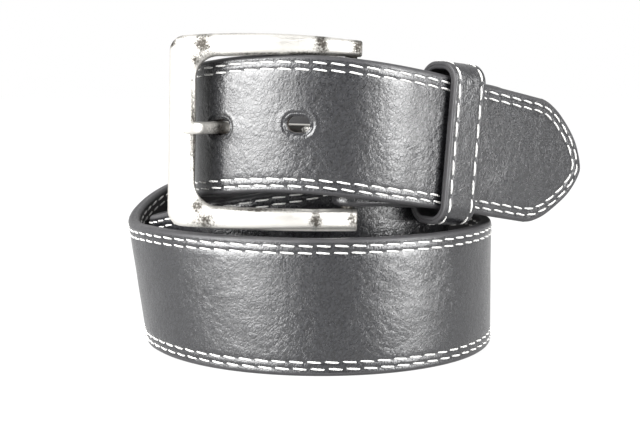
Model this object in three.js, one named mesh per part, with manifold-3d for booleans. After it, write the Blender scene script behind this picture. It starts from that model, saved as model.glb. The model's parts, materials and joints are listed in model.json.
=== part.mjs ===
// A gentleman's leather dress belt: buckle done up, rolled into a coil and stood on its edge.
// Millimetres, +Z up, the buckle towards -Y. The belt is one long strap of three layers whose
// buckle end (the chape) folds round the heel bar of the buckle and is riveted to itself.
import * as THREE from 'three';
import { mergeVertices } from 'three/addons/utils/BufferGeometryUtils.js';
import Module from 'manifold-3d';

const wasm = await Module();
wasm.setup();

const DEGREE = Math.PI / 180;

// ---------------------------------------------------------------- driving dimensions

const STRAP_WIDTH = 40;
const HALF_WIDTH = STRAP_WIDTH / 2;
const FACE_THICKNESS = 1.6;
const CORE_THICKNESS = 0.8;
const LINING_THICKNESS = 1.2;
const GLUE_GAP = 0.2;
const STRAP_THICKNESS = FACE_THICKNESS + CORE_THICKNESS + LINING_THICKNESS + 2 * GLUE_GAP;
const STATION_SPACING = 9;

// Stitching: two rows along each edge, as insets from the edge of the strap.
const OUTER_ROW_INSET = 2.2;
const INNER_ROW_INSET = 4.2;
const THREAD_HALF_WIDTH = 0.45;
const THREAD_HEIGHT = 0.28;
const THREAD_CLEARANCE = 0.14;

// Pointed tip: distance past the start of the point, and half the strap's width there.
const TIP_OUTLINE = [[0, 20], [5, 17.1], [10, 13.6], [14.5, 9.6], [17.3, 6.0], [19.2, 2.6], [20, 1.2]];
const TIP_LENGTH = 20;

// Slots for the prong, counted from the tip.
const SLOT_COUNT = 5;
const SLOT_PITCH = 25.4;
const LAST_SLOT_FROM_TIP = 112;
const SLOT_LENGTH = 7.2;
const SLOT_HEIGHT = 5.0;

// Chape: the face leather wraps the heel bar and lies back behind the strap.
const WRAP_RADIUS = 5;
const WRAP_STEPS = 10;
const TAIL_LENGTH = 19;
const TAIL_STEPS = 5;
const TAIL_SETTLED = 9;
const TAIL_OFFSET = STRAP_THICKNESS + 0.5 + FACE_THICKNESS;
const LAYERS_START = 7;
const PRONG_SLOT = { back: 7.5, forward: 5.5, height: 7.2, rise: 2.2 };

const RIVET = {
  along: 13.5, across: 9, postRadius: 1.3, holeRadius: 1.6, headRadius: 3.4, headHeight: 0.35, seat: 0.12,
};
const RIVET_CAP = { radius: 3.6, height: 1.3, seat: 0.5, boreRadius: 1.6, boreDepth: 0.8 };

// Buckle: a bowed three-sided frame with a heel bar, rolled a little clockwise as it hangs.
const FRAME = {
  halfWidth: 28.15, right: 28.2, frontBarWidth: 8.3, outerRadius: 4.5, innerRadius: 7,
  centreX: -16.6, centreZ: 69.6, crestX: 3, crestY: -53.2, bowRadius: 52.6, thickness: 4.2,
  heelExtra: 2.6, roll: 1.5 * DEGREE,
};
const ARM = { topOuter: 27.4, topInner: 22.8, bottomOuter: 28.3, bottomInner: 21.9 };
const ARM_SWELL = { topOuter: 1.3, topInner: 0.9, bottomOuter: 0.3, bottomInner: 0.9 };
const HEEL_BAR_RADIUS = 1.8;
const PRONG = { height: 3.6, thickness: 2.2, eyeRadius: 3.4, eyeBore: 2.0, eyeHeight: 4.2, lift: 1 };

// Keeper: a two-ply loop round both straps, open by a hair at the back where a staple joins it.
const KEEPER = {
  fromTip: 58.6, skew: 4.4, width: 12.7, ply: 1.15, plyGap: 0.15, front: 1.0, back: 10.2,
  top: 22.4, bottom: -22.0, innerRadius: 4, seam: 0.5, rowInset: 1.9,
};
const STAPLE = { crown: 7, wire: 1.0, thickness: 0.5, holeMargin: 0.3 };

// The route of the strap from the heel bar to the tip, on its outer face:
// [turn round the coil in degrees from the front, radius, height of the lower edge, lean in degrees].
const ON_TABLE = -0.05;
const ROUTE = [
  // from the heel bar, behind the tip end of the strap, then over the rim of the lower turn
  [11.5, 47.9, 48.0, 0.6], [24, 47.95, 47.6, 1], [35, 47.6, 46.9, 1.2], [46.6, 48.4, 46.0, 1.2],
  [57.4, 51.0, 45.0, 1], [63, 53.0, 44.5, 1], [72, 56.8, 43.5, 1], [82, 60.2, 42.3, 0.5],
  // down round the outside of the coil
  [95, 62.0, 40.9, 0], [120, 62.4, 35.4, 0], [150, 62.3, 28.5, 0], [180, 62.2, 21.7, 0],
  [210, 62.2, 14.9, 1.5], [240, 62.0, 8.0, 4], [262, 61.3, 2.6, 7], [278, 60.6, ON_TABLE, 8],
  // the lower turn, standing on the table
  [300, 59.6, ON_TABLE, 5], [330, 58.3, ON_TABLE, 0], [360, 57.8, ON_TABLE, -2.5],
  [400, 57.6, ON_TABLE, -2.5], [430, 57.0, ON_TABLE, -1], [450, 56.6, ON_TABLE, 0],
  [480, 56.8, ON_TABLE, 0], [510, 57.2, ON_TABLE, 0], [540, 57.2, ON_TABLE, 0],
  [570, 57.0, ON_TABLE, 1.5], [600, 56.3, ON_TABLE, 4], [622, 55.5, ON_TABLE, 6.5],
  // up the inside of the coil
  [640, 53.6, 1.2, 6], [660, 50.0, 4.6, 4], [680, 45.4, 8.6, 2], [700, 39.4, 11.6, 0],
  [720, 36.5, 13.8, 0], [750, 38.2, 18.5, 0], [780, 41.2, 23.3, 0], [810, 43.0, 28.0, 0],
  [855, 44.0, 34.5, 0], [900, 44.0, 40.0, 0], [945, 42.5, 43.8, 0], [980, 40.6, 45.9, 0],
  [1005, 41.5, 47.7, 0], [1020, 45.2, 48.9, 0],
  // through the buckle, over the chape and on to the tip
  [1033.1, 50.8, 50.0, 0], [1044.2, 51.8, 51.1, 0], [1055.2, 52.1, 52.0, 0], [1071.6, 52.3, 52.3, 0.3],
  [1082.6, 52.6, 51.8, 0.6], [1093.4, 53.0, 50.7, 1], [1104.2, 53.1, 49.3, 1.2], [1115, 52.8, 47.8, 1.4],
  [1125.8, 53.5, 46.1, 1.2], [1135.9, 55.9, 44.5, 1], [1145.1, 59.8, 42.8, 1], [1152.9, 65.0, 41.0, 1],
  [1159.5, 71.1, 39.2, 1], [1165.1, 78.1, 37.4, 1], [1170.5, 87.2, 35.2, 1],
];

// The prong in plan, from its eye to the tip that rests on the front bar.
const PRONG_ROUTE = [
  [-6, -42.0], [-16, -40.6], [-24, -38.7], [-28.3, -38.8], [-31.2, -41.2], [-33.6, -45.0],
  [-36.0, -48.7], [-39.4, -48.9],
];

// ---------------------------------------------------------------- materials

function leather(colour) {
  return new THREE.MeshStandardMaterial({ color: colour, roughness: 0.45, metalness: 0 });
}

function metal(colour) {
  return new THREE.MeshStandardMaterial({ color: colour, roughness: 0.32, metalness: 1 });
}

function thread() {
  return new THREE.MeshStandardMaterial({ color: 0xf2f0ea, roughness: 0.8, metalness: 0 });
}

// ---------------------------------------------------------------- solids

function makeGeometry(points, triangles) {
  const flat = points.flatMap((p) => [p.x, p.y, p.z]);
  const geometry = new THREE.BufferGeometry();
  geometry.setAttribute('position', new THREE.Float32BufferAttribute(flat, 3));
  geometry.setIndex(triangles.flat());
  return geometry;
}

function signedVolume(points, triangles) {
  const volumes = triangles.map(([a, b, c]) => points[a].dot(points[b].clone().cross(points[c])));
  return volumes.reduce((sum, v) => sum + v, 0) / 6;
}

// Joins a row of matching rings of points into one closed body, capped at both ends. The two
// halves of a ring split their quads along matching diagonals, so that stacked layers stay parallel.
function loft(rings) {
  const size = rings[0].length;
  const points = rings.flat();
  const triangles = [];
  for (let r = 0; r + 1 < rings.length; r += 1) {
    for (let k = 0; k < size; k += 1) {
      const next = (k + 1) % size;
      const a = r * size + k;
      const b = r * size + next;
      if (k < size / 2) triangles.push([a, b, b + size], [a, b + size, a + size]);
      else triangles.push([a, b, a + size], [b, b + size, a + size]);
    }
  }
  const last = points.length - size;
  for (let k = 1; k + 1 < size; k += 1) {
    triangles.push([0, k + 1, k], [last, last + k, last + k + 1]);
  }
  const outward = signedVolume(points, triangles) > 0;
  return makeGeometry(points, outward ? triangles : triangles.map(([a, b, c]) => [a, c, b]));
}

function toManifold(geometry) {
  const bare = geometry.clone();
  bare.deleteAttribute('normal');
  bare.deleteAttribute('uv');
  const merged = mergeVertices(bare, 1e-5);
  const vertProperties = new Float32Array(merged.getAttribute('position').array);
  const triVerts = new Uint32Array(merged.getIndex().array);
  return new wasm.Manifold(new wasm.Mesh({ numProp: 3, vertProperties, triVerts }));
}

function toGeometry(manifold) {
  const mesh = manifold.getMesh();
  const geometry = new THREE.BufferGeometry();
  geometry.setAttribute('position', new THREE.Float32BufferAttribute(mesh.vertProperties, 3));
  geometry.setIndex(Array.from(mesh.triVerts));
  return geometry;
}

function cut(geometry, tools) {
  const solid = tools.reduce((body, tool) => body.subtract(toManifold(tool)), toManifold(geometry));
  return toGeometry(solid);
}

function join(geometries) {
  const [first, ...rest] = geometries.map(toManifold);
  return toGeometry(rest.reduce((body, other) => body.add(other), first));
}

// A matrix that stands a geometry's X, Y and Z on the three given directions at a point.
function placement(origin, xDirection, yDirection, zDirection) {
  const basis = new THREE.Matrix4().makeBasis(xDirection, yDirection, zDirection);
  return basis.setPosition(origin);
}

// ---------------------------------------------------------------- the strap's route

// Slope at knot i of column c of the route, weighted by the spans on either side.
function routeSlope(i, c) {
  const slopeOf = (k) => (ROUTE[k + 1][c] - ROUTE[k][c]) / (ROUTE[k + 1][0] - ROUTE[k][0]);
  if (i === 0) return slopeOf(0);
  if (i === ROUTE.length - 1) return slopeOf(i - 1);
  const before = ROUTE[i][0] - ROUTE[i - 1][0];
  const after = ROUTE[i + 1][0] - ROUTE[i][0];
  return (slopeOf(i - 1) * after + slopeOf(i) * before) / (before + after);
}

function routeValue(turn, c) {
  const found = ROUTE.findIndex((knot) => knot[0] >= turn);
  const i = found < 0 ? ROUTE.length - 2 : Math.max(found - 1, 0);
  const span = ROUTE[i + 1][0] - ROUTE[i][0];
  const t = (turn - ROUTE[i][0]) / span;
  const startWeight = (1 + 2 * t) * (1 - t) ** 2;
  const endWeight = t * t * (3 - 2 * t);
  const startPull = t * (1 - t) ** 2 * span * routeSlope(i, c);
  const endPull = t * t * (t - 1) * span * routeSlope(i + 1, c);
  return startWeight * ROUTE[i][c] + endWeight * ROUTE[i + 1][c] + startPull + endPull;
}

// Middle of the outer face at a turn angle.
function faceCentre(turn) {
  const radius = routeValue(turn, 1);
  const lean = routeValue(turn, 3) * DEGREE;
  const height = routeValue(turn, 2) + HALF_WIDTH * Math.cos(lean);
  return new THREE.Vector3(radius * Math.sin(turn * DEGREE), -radius * Math.cos(turn * DEGREE), height);
}

const FIRST_TURN = ROUTE[0][0];
const LAST_TURN = ROUTE[ROUTE.length - 1][0];
const SAMPLES_PER_DEGREE = 2;

// Distances from the tip between which the strap's sections turn from vertical to square.
const SQUARE_FROM = 190;
const SQUARE_BY = 110;

// Running length along the face against turn angle.
function measureRoute() {
  const count = Math.round((LAST_TURN - FIRST_TURN) * SAMPLES_PER_DEGREE);
  const samples = [{ turn: FIRST_TURN, length: 0 }];
  let previous = faceCentre(FIRST_TURN);
  for (let i = 1; i <= count; i += 1) {
    const turn = FIRST_TURN + (i * (LAST_TURN - FIRST_TURN)) / count;
    const point = faceCentre(turn);
    samples.push({ turn, length: samples[i - 1].length + point.distanceTo(previous) });
    previous = point;
  }
  return samples;
}

const SAMPLES = measureRoute();
const STRAP_LENGTH = SAMPLES[SAMPLES.length - 1].length;

function turnAt(length) {
  const found = SAMPLES.findIndex((sample) => sample.length >= length);
  const i = found < 0 ? SAMPLES.length - 1 : Math.max(found, 1);
  const before = SAMPLES[i - 1];
  const after = SAMPLES[i];
  const share = (length - before.length) / (after.length - before.length);
  return before.turn + share * (after.turn - before.turn);
}

// Local frame of the strap at a length from the heel: along, up the width, and out of the face.
// In the coil `up` is vertical, so a climbing strap keeps flat facets; past the buckle it is square
// to the strap. Either way its length makes the strap's width STRAP_WIDTH when measured square.
function strapFrame(length) {
  const turn = turnAt(length);
  const step = 0.2;
  const centre = faceCentre(turn);
  const along = faceCentre(turn + step).sub(faceCentre(turn - step)).normalize();
  const sideways = new THREE.Vector3(along.y, -along.x, 0).normalize();
  const lean = routeValue(turn, 3) * DEGREE;
  const upright = new THREE.Vector3(0, 0, Math.cos(lean)).addScaledVector(sideways, Math.sin(lean));
  const climb = upright.dot(along);
  const square = THREE.MathUtils.smoothstep(length, STRAP_LENGTH - SQUARE_FROM, STRAP_LENGTH - SQUARE_BY);
  const up = upright.addScaledVector(along, -square * climb).divideScalar(Math.sqrt(1 - climb * climb));
  const out = new THREE.Vector3().crossVectors(along, up).normalize();
  return { centre, along, up, out };
}

// Matrix of right-angled axes on the strap: along it, up its width and out of its face.
function strapPlacement(frame, width) {
  const squareUp = new THREE.Vector3().crossVectors(frame.out, frame.along);
  return placement(strapPoint(frame, width, 0), frame.along, squareUp, frame.out);
}

// A point at w up the width and n out of the face; nothing goes below the table.
function strapPoint(frame, w, n) {
  const point = frame.centre.clone().addScaledVector(frame.up, w).addScaledVector(frame.out, n);
  point.z = Math.max(point.z, 0);
  return point;
}

// ---------------------------------------------------------------- the strap's outline

const TIP_START = STRAP_LENGTH - TIP_LENGTH;

// The tip's outline moved inwards by an inset, as [distance past the start of the point, half width].
function insetTip(inset) {
  return TIP_OUTLINE.map(([along, half], i) => {
    const before = TIP_OUTLINE[Math.max(i - 1, 0)];
    const after = TIP_OUTLINE[Math.min(i + 1, TIP_OUTLINE.length - 1)];
    const direction = new THREE.Vector2(after[0] - before[0], after[1] - before[1]).normalize();
    return [along + direction.y * inset, half - direction.x * inset];
  }).filter(([, half]) => half > 0);
}

function halfWidthAt(length, inset) {
  const tip = insetTip(inset);
  const past = length - TIP_START;
  const after = tip.findIndex(([along]) => along >= past);
  if (after === 0) return HALF_WIDTH - inset;
  if (after < 0) return 0;
  const [a0, h0] = tip[after - 1];
  const [a1, h1] = tip[after];
  return h0 + ((h1 - h0) * (past - a0)) / (a1 - a0);
}

// Lengths at which every layer and thread has a section, so that their facets stay parallel.
function makeStations() {
  const count = Math.ceil((TIP_START - LAYERS_START) / STATION_SPACING);
  const spacing = (TIP_START - LAYERS_START) / count;
  const body = Array.from({ length: count + 1 }, (_, i) => LAYERS_START + i * spacing);
  const tips = TIP_OUTLINE.slice(1).map(([along]) => TIP_START + along);
  return [0, LAYERS_START / 2, ...body, ...tips];
}

const STATIONS = makeStations();

// ---------------------------------------------------------------- strap layers

function layerRing(frame, half, top, bottom) {
  return [
    strapPoint(frame, -half, top), strapPoint(frame, half, top),
    strapPoint(frame, half, bottom), strapPoint(frame, -half, bottom),
  ];
}

function layerRings(start, top, bottom) {
  return STATIONS.filter((length) => length >= start).map((length) => (
    layerRing(strapFrame(length), halfWidthAt(length, 0), top, bottom)
  ));
}

const HEEL = strapFrame(0);
const HEEL_AXIS = strapPoint(HEEL, 0, -WRAP_RADIUS);

// Depth of the folded tail's grain side below the face, easing from the wrap to the settled tail.
function tailDepth(length) {
  const ease = THREE.MathUtils.smoothstep(length, 0, TAIL_SETTLED);
  return THREE.MathUtils.lerp(2 * WRAP_RADIUS, TAIL_OFFSET, ease);
}

function tailRings() {
  const lengths = Array.from({ length: TAIL_STEPS }, (_, i) => TAIL_LENGTH * (1 - i / TAIL_STEPS));
  return lengths.map((length) => {
    const depth = tailDepth(length);
    return layerRing(strapFrame(length), HALF_WIDTH, -depth, -depth + FACE_THICKNESS);
  });
}

function wrapRings() {
  return Array.from({ length: WRAP_STEPS }, (_, i) => {
    const angle = Math.PI * (1 - i / WRAP_STEPS);
    const outwards = HEEL.out.clone().multiplyScalar(Math.cos(angle));
    outwards.addScaledVector(HEEL.along, -Math.sin(angle));
    const wrapFrame = { centre: HEEL_AXIS, up: HEEL.up, out: outwards };
    return layerRing(wrapFrame, HALF_WIDTH, WRAP_RADIUS, WRAP_RADIUS - FACE_THICKNESS);
  });
}

// A prism with a slot's outline, standing through the strap at a length and width.
function slotTool(length, width, slotLength, slotHeight) {
  const frame = strapFrame(length);
  const radius = slotHeight / 2;
  const reach = slotLength / 2 - radius;
  const shape = new THREE.Shape();
  shape.absarc(reach, 0, radius, -Math.PI / 2, Math.PI / 2, false);
  shape.absarc(-reach, 0, radius, Math.PI / 2, (3 * Math.PI) / 2, false);
  const depth = STRAP_THICKNESS + 6;
  const prism = new THREE.ExtrudeGeometry(shape, { depth, bevelEnabled: false, curveSegments: 4 });
  prism.translate(0, 0, 3 - depth);
  return prism.applyMatrix4(strapPlacement(frame, width));
}

function slotTools() {
  return Array.from({ length: SLOT_COUNT }, (_, i) => (
    slotTool(STRAP_LENGTH - LAST_SLOT_FROM_TIP - i * SLOT_PITCH, 0, SLOT_LENGTH, SLOT_HEIGHT)
  ));
}

function rivetCylinder(side, radius, from, to) {
  const cylinder = new THREE.CylinderGeometry(radius, radius, to - from, 12);
  cylinder.rotateX(Math.PI / 2);
  cylinder.translate(0, 0, (from + to) / 2);
  return cylinder.applyMatrix4(strapPlacement(strapFrame(RIVET.along), side * RIVET.across));
}

function rivetHoles() {
  return [-1, 1].map((side) => rivetCylinder(side, RIVET.holeRadius, -TAIL_OFFSET - 1.5, 2));
}

function prongSlotTool() {
  const { back, forward, height, rise } = PRONG_SLOT;
  const depth = 2 * WRAP_RADIUS + 4;
  const box = new THREE.BoxGeometry(back + forward, height, depth);
  box.translate((forward - back) / 2, rise, -WRAP_RADIUS);
  return box.applyMatrix4(strapPlacement(HEEL, 0));
}

function strapFaceGeometry() {
  const front = layerRings(0, 0, -FACE_THICKNESS);
  const body = loft([...tailRings(), ...wrapRings(), ...front]);
  return cut(body, [...slotTools(), ...rivetHoles(), prongSlotTool()]);
}

function innerLayerGeometry(top, thickness) {
  const body = loft(layerRings(LAYERS_START, -top, -top - thickness));
  return cut(body, [...slotTools(), ...rivetHoles()]);
}

// ---------------------------------------------------------------- stitching

// One thread runs up the top edge, round the tip and back along the lower edge.
function threadPath(inset, start) {
  const tip = insetTip(inset);
  const apex = TIP_START + tip[tip.length - 1][0];
  const lengths = STATIONS.filter((length) => length >= start && length < apex - 0.5);
  const upper = lengths.map((length) => [length, halfWidthAt(length, inset)]);
  const lower = upper.map(([length, half]) => [length, -half]).reverse();
  return [...upper, [apex, 0], ...lower];
}

// A low three-sided ridge of thread, lying on the side of the strap that `side` points out of.
function threadGeometry(inset, start, surface, side) {
  const path = threadPath(inset, start);
  const foot = surface + side * THREAD_CLEARANCE;
  const ridge = foot + side * THREAD_HEIGHT;
  const rings = path.map(([length, w], i) => {
    const before = path[Math.max(i - 1, 0)];
    const after = path[Math.min(i + 1, path.length - 1)];
    const direction = new THREE.Vector2(after[0] - before[0], after[1] - before[1]).normalize();
    const offset = THREAD_HALF_WIDTH;
    const at = (shift, n) => {
      const frame = strapFrame(length - direction.y * shift);
      return strapPoint(frame, w + direction.x * shift, n);
    };
    return [at(-offset, foot), at(offset, foot), at(0, ridge)];
  });
  return loft(rings);
}

// ---------------------------------------------------------------- rivets

function rivetPostGeometry(side) {
  const head = rivetCylinder(side, RIVET.headRadius, RIVET.seat, RIVET.seat + RIVET.headHeight);
  const post = rivetCylinder(side, RIVET.postRadius, -TAIL_OFFSET - RIVET_CAP.boreDepth, 2 * RIVET.seat);
  return join([head, post]);
}

function rivetCapGeometry(side) {
  const seat = -TAIL_OFFSET - RIVET_CAP.seat;
  const dome = rivetCylinder(side, RIVET_CAP.radius, seat - RIVET_CAP.height, seat);
  const bore = rivetCylinder(side, RIVET_CAP.boreRadius, seat - RIVET_CAP.boreDepth, seat + 1);
  return cut(dome, [bore]);
}

// ---------------------------------------------------------------- buckle frame

function line(from, to, count) {
  return Array.from({ length: count }, (_, i) => from.clone().lerp(to, i / count));
}

function arc(centre, radius, startAngle, endAngle, count) {
  return Array.from({ length: count }, (_, i) => {
    const angle = startAngle + ((endAngle - startAngle) * i) / count;
    return new THREE.Vector2(centre.x + radius * Math.cos(angle), centre.y + radius * Math.sin(angle));
  });
}

// Three sides of a rounded rectangle, from the lower right round the left to the upper right.
function threeSides(left, right, bottom, top, radius) {
  const lowerCorner = new THREE.Vector2(left + radius, bottom + radius);
  const upperCorner = new THREE.Vector2(left + radius, top - radius);
  return [
    ...line(new THREE.Vector2(right, bottom), new THREE.Vector2(left + radius, bottom), 8),
    ...arc(lowerCorner, radius, 1.5 * Math.PI, Math.PI, 4),
    ...line(new THREE.Vector2(left, bottom + radius), new THREE.Vector2(left, top - radius), 4),
    ...arc(upperCorner, radius, Math.PI, 0.5 * Math.PI, 4),
    ...line(new THREE.Vector2(left + radius, top), new THREE.Vector2(right, top), 8),
    new THREE.Vector2(right, top),
  ];
}

// The arms swell a little at the middle of their length.
function swell(outline, upper, lower) {
  return outline.map((point) => {
    const middle = 1 - (point.x / FRAME.halfWidth) ** 2;
    const reach = Math.abs(point.y) / ARM.bottomOuter;
    const amount = (point.y > 0 ? upper : lower) * Math.max(middle, 0) * reach;
    return new THREE.Vector2(point.x, point.y + amount);
  });
}

function frameFront(x) {
  return FRAME.crestY + (x - FRAME.crestX) ** 2 / (2 * FRAME.bowRadius);
}

function frameBack(x) {
  const heel = THREE.MathUtils.smoothstep(x, 14, 24);
  return frameFront(x) + FRAME.thickness + FRAME.heelExtra * heel;
}

function frameRing(outer, inner) {
  const section = [[0, 'back'], [0, 1.4], [0.18, 0.35], [0.5, 0], [0.82, 0.35], [1, 1.4], [1, 'back']];
  return section.map(([share, depth]) => {
    const point = outer.clone().lerp(inner, share);
    const y = depth === 'back' ? frameBack(point.x) : frameFront(point.x) + depth;
    return new THREE.Vector3(point.x, y, point.y);
  });
}

const HEEL_BAR_X = (HEEL_AXIS.x - FRAME.centreX) / Math.cos(FRAME.roll);

function uprightCylinder(radius, height, x, y) {
  const cylinder = new THREE.CylinderGeometry(radius, radius, height, 20);
  cylinder.rotateX(Math.PI / 2);
  return cylinder.translate(x, y, 0);
}

function buckleFrameGeometry() {
  const { halfWidth, right, frontBarWidth, outerRadius, innerRadius } = FRAME;
  const outer = threeSides(-halfWidth, right, -ARM.bottomOuter, ARM.topOuter, outerRadius);
  const innerLeft = frontBarWidth - halfWidth;
  const inner = threeSides(innerLeft, right, -ARM.bottomInner, ARM.topInner, innerRadius);
  const swollenOuter = swell(outer, ARM_SWELL.topOuter, ARM_SWELL.bottomOuter);
  const swollenInner = swell(inner, ARM_SWELL.topInner, ARM_SWELL.bottomInner);
  const body = loft(swollenOuter.map((point, i) => frameRing(point, swollenInner[i])));
  const bar = uprightCylinder(HEEL_BAR_RADIUS, 2 * (ARM.topInner + 1.5), HEEL_BAR_X, HEEL_AXIS.y);
  return join([body, bar]);
}

// ---------------------------------------------------------------- prong

function prongGeometry() {
  const eye = uprightCylinder(PRONG.eyeRadius, PRONG.eyeHeight, HEEL_BAR_X, HEEL_AXIS.y);
  const bore = uprightCylinder(PRONG.eyeBore, 2 * PRONG.eyeHeight, HEEL_BAR_X, HEEL_AXIS.y);
  const start = new THREE.Vector2(HEEL_BAR_X, HEEL_AXIS.y);
  const knots = PRONG_ROUTE.map(([x, y]) => new THREE.Vector2(x - FRAME.centreX, y));
  const path = [start, ...new THREE.SplineCurve([start, ...knots]).getPoints(18).slice(2)];
  const halfHeight = PRONG.height / 2;
  const half = PRONG.thickness / 2;
  const rings = path.map((point, i) => {
    const before = path[Math.max(i - 1, 0)];
    const after = path[Math.min(i + 1, path.length - 1)];
    const direction = after.clone().sub(before).normalize();
    const taper = i === path.length - 1 ? 0.55 : 1;
    return [[-0.6, -1], [0.6, -1], [1, 0], [0.6, 1], [-0.6, 1], [-1, 0]].map(([z, n]) => {
      const x = point.x - direction.y * n * half * taper;
      const y = point.y + direction.x * n * half * taper;
      return new THREE.Vector3(x, y, z * halfHeight * taper);
    });
  });
  return cut(join([eye, loft(rings)]), [bore]).translate(0, 0, PRONG.lift);
}

// ---------------------------------------------------------------- keeper

// The loop sits a little askew on the strap: turned in the plane of the strap's face.
function askew({ centre, along, up, out }, degrees) {
  const turn = THREE.MathUtils.degToRad(degrees);
  return {
    centre, out, along: along.clone().applyAxisAngle(out, turn), up: up.clone().applyAxisAngle(out, turn),
  };
}

const KEEPER_FRAME = askew(strapFrame(STRAP_LENGTH - KEEPER.fromTip), KEEPER.skew);

// The loop's outline, grown outwards from its inner surface: [out of the face, up the width].
// It starts and ends at the seam in the middle of the back.
function keeperOutline(grow) {
  const radius = KEEPER.innerRadius + grow;
  const back = -KEEPER.back - grow;
  const front = KEEPER.front + grow;
  const top = KEEPER.top + grow;
  const bottom = KEEPER.bottom - grow;
  const seam = KEEPER.seam / 2;
  const corner = (x, y, start) => arc(new THREE.Vector2(x, y), radius, start, start - Math.PI / 2, 5);
  return [
    new THREE.Vector2(back, seam),
    ...corner(back + radius, top - radius, Math.PI),
    ...corner(front - radius, top - radius, Math.PI / 2),
    ...corner(front - radius, bottom + radius, 0),
    ...corner(back + radius, bottom + radius, -Math.PI / 2),
    new THREE.Vector2(back, bottom + radius),
    new THREE.Vector2(back, -seam),
  ];
}

function keeperPoint(outline, along) {
  const point = KEEPER_FRAME.centre.clone().addScaledVector(KEEPER_FRAME.out, outline.x);
  return point.addScaledVector(KEEPER_FRAME.up, outline.y).addScaledVector(KEEPER_FRAME.along, along);
}

function keeperBand(innerGrow, outerGrow, start, end) {
  const inner = keeperOutline(innerGrow);
  const outer = keeperOutline(outerGrow);
  return loft(inner.map((point, i) => [
    keeperPoint(point, start), keeperPoint(point, end),
    keeperPoint(outer[i], end), keeperPoint(outer[i], start),
  ]));
}

const KEEPER_OUTSIDE = 2 * KEEPER.ply + KEEPER.plyGap;

// A block in the keeper's own directions: out of the face, up the width, along the strap.
function keeperBlock(outSize, upSize, alongSize, outAt, upAt) {
  const block = new THREE.BoxGeometry(outSize, upSize, alongSize);
  block.translate(outAt, upAt, 0);
  const { centre, out, up, along } = KEEPER_FRAME;
  return block.applyMatrix4(placement(centre, out, up, along.clone().negate()));
}

function stapleLegs(margin) {
  const length = KEEPER_OUTSIDE + 0.4;
  const middle = -KEEPER.back - KEEPER_OUTSIDE / 2;
  const size = STAPLE.wire + margin;
  const thickness = STAPLE.thickness + margin;
  const reach = (STAPLE.crown - STAPLE.thickness) / 2;
  return [-reach, reach].map((up) => keeperBlock(length + margin, thickness, size, middle - 0.1, up));
}

function stapleGeometry() {
  const outside = -KEEPER.back - KEEPER_OUTSIDE - 0.3 - STAPLE.thickness / 2;
  const crown = keeperBlock(STAPLE.thickness, STAPLE.crown, STAPLE.wire, outside, 0);
  return join([crown, ...stapleLegs(0)]);
}

function keeperPlyGeometry(innerGrow, outerGrow) {
  const half = KEEPER.width / 2;
  return cut(keeperBand(innerGrow, outerGrow, -half, half), stapleLegs(2 * STAPLE.holeMargin));
}

function keeperThreadGeometry(side) {
  const middle = side * (KEEPER.width / 2 - KEEPER.rowInset);
  const foot = KEEPER_OUTSIDE + THREAD_CLEARANCE;
  const start = middle - THREAD_HALF_WIDTH;
  return keeperBand(foot, foot + THREAD_HEIGHT, start, start + 2 * THREAD_HALF_WIDTH);
}

// ---------------------------------------------------------------- assembly

function part(name, geometry, material) {
  const mesh = new THREE.Mesh(geometry, material);
  mesh.name = name;
  return mesh;
}

const coreTop = FACE_THICKNESS + GLUE_GAP;
const liningTop = coreTop + CORE_THICKNESS + GLUE_GAP;
const needleStart = LAYERS_START + 1;
const bobbinStart = TAIL_LENGTH + 2;
const bobbinSide = [-STRAP_THICKNESS, -1];

const strap = new THREE.Group();
strap.add(
  part('strap_face', strapFaceGeometry(), leather(0x2a2b2e)),
  part('strap_core', innerLayerGeometry(coreTop, CORE_THICKNESS), leather(0x3a3632)),
  part('strap_lining', innerLayerGeometry(liningTop, LINING_THICKNESS), leather(0x1f1f21)),
  part('needle_thread_outer_row', threadGeometry(OUTER_ROW_INSET, needleStart, 0, 1), thread()),
  part('needle_thread_inner_row', threadGeometry(INNER_ROW_INSET, needleStart, 0, 1), thread()),
  part('bobbin_thread_outer_row', threadGeometry(OUTER_ROW_INSET, bobbinStart, ...bobbinSide), thread()),
  part('bobbin_thread_inner_row', threadGeometry(INNER_ROW_INSET, bobbinStart, ...bobbinSide), thread()),
);

const rivets = new THREE.Group();
[['lower', -1], ['upper', 1]].forEach(([place, side]) => {
  rivets.add(
    part(`rivet_post_${place}`, rivetPostGeometry(side), metal(0xb98d4a)),
    part(`rivet_cap_${place}`, rivetCapGeometry(side), metal(0xb98d4a)),
  );
});

const buckle = new THREE.Group();
buckle.position.set(FRAME.centreX, 0, FRAME.centreZ);
buckle.rotation.y = FRAME.roll;
buckle.add(
  part('buckle_frame', buckleFrameGeometry(), metal(0xd8d2c4)),
  part('prong', prongGeometry(), metal(0xd8d2c4)),
);

const keeper = new THREE.Group();
keeper.add(
  part('keeper_face', keeperPlyGeometry(KEEPER.ply + KEEPER.plyGap, KEEPER_OUTSIDE), leather(0x2a2b2e)),
  part('keeper_lining', keeperPlyGeometry(0, KEEPER.ply), leather(0x1f1f21)),
  part('keeper_thread_buckle_side', keeperThreadGeometry(-1), thread()),
  part('keeper_thread_tip_side', keeperThreadGeometry(1), thread()),
  part('keeper_staple', stapleGeometry(), metal(0xb98d4a)),
);

const belt = new THREE.Group();
belt.add(strap, rivets, buckle, keeper);

// The origin is at the middle of the belt's footprint, on the table.
const footprint = new THREE.Box3().setFromObject(belt);
const middle = footprint.getCenter(new THREE.Vector3());
belt.position.set(-middle.x, -middle.y, -footprint.min.z);

export default belt;
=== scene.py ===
"""A gentleman's black leather belt: buckled, coiled and stood on its edge.

Everything is worked out in millimetres, in the coil's own frame (centre of the coil at the origin,
+Z up, the buckle towards -Y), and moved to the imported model's frame when a mesh is made.
"""
import json
import math

import bmesh
import bpy
import numpy as np
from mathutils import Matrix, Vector, noise


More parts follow.
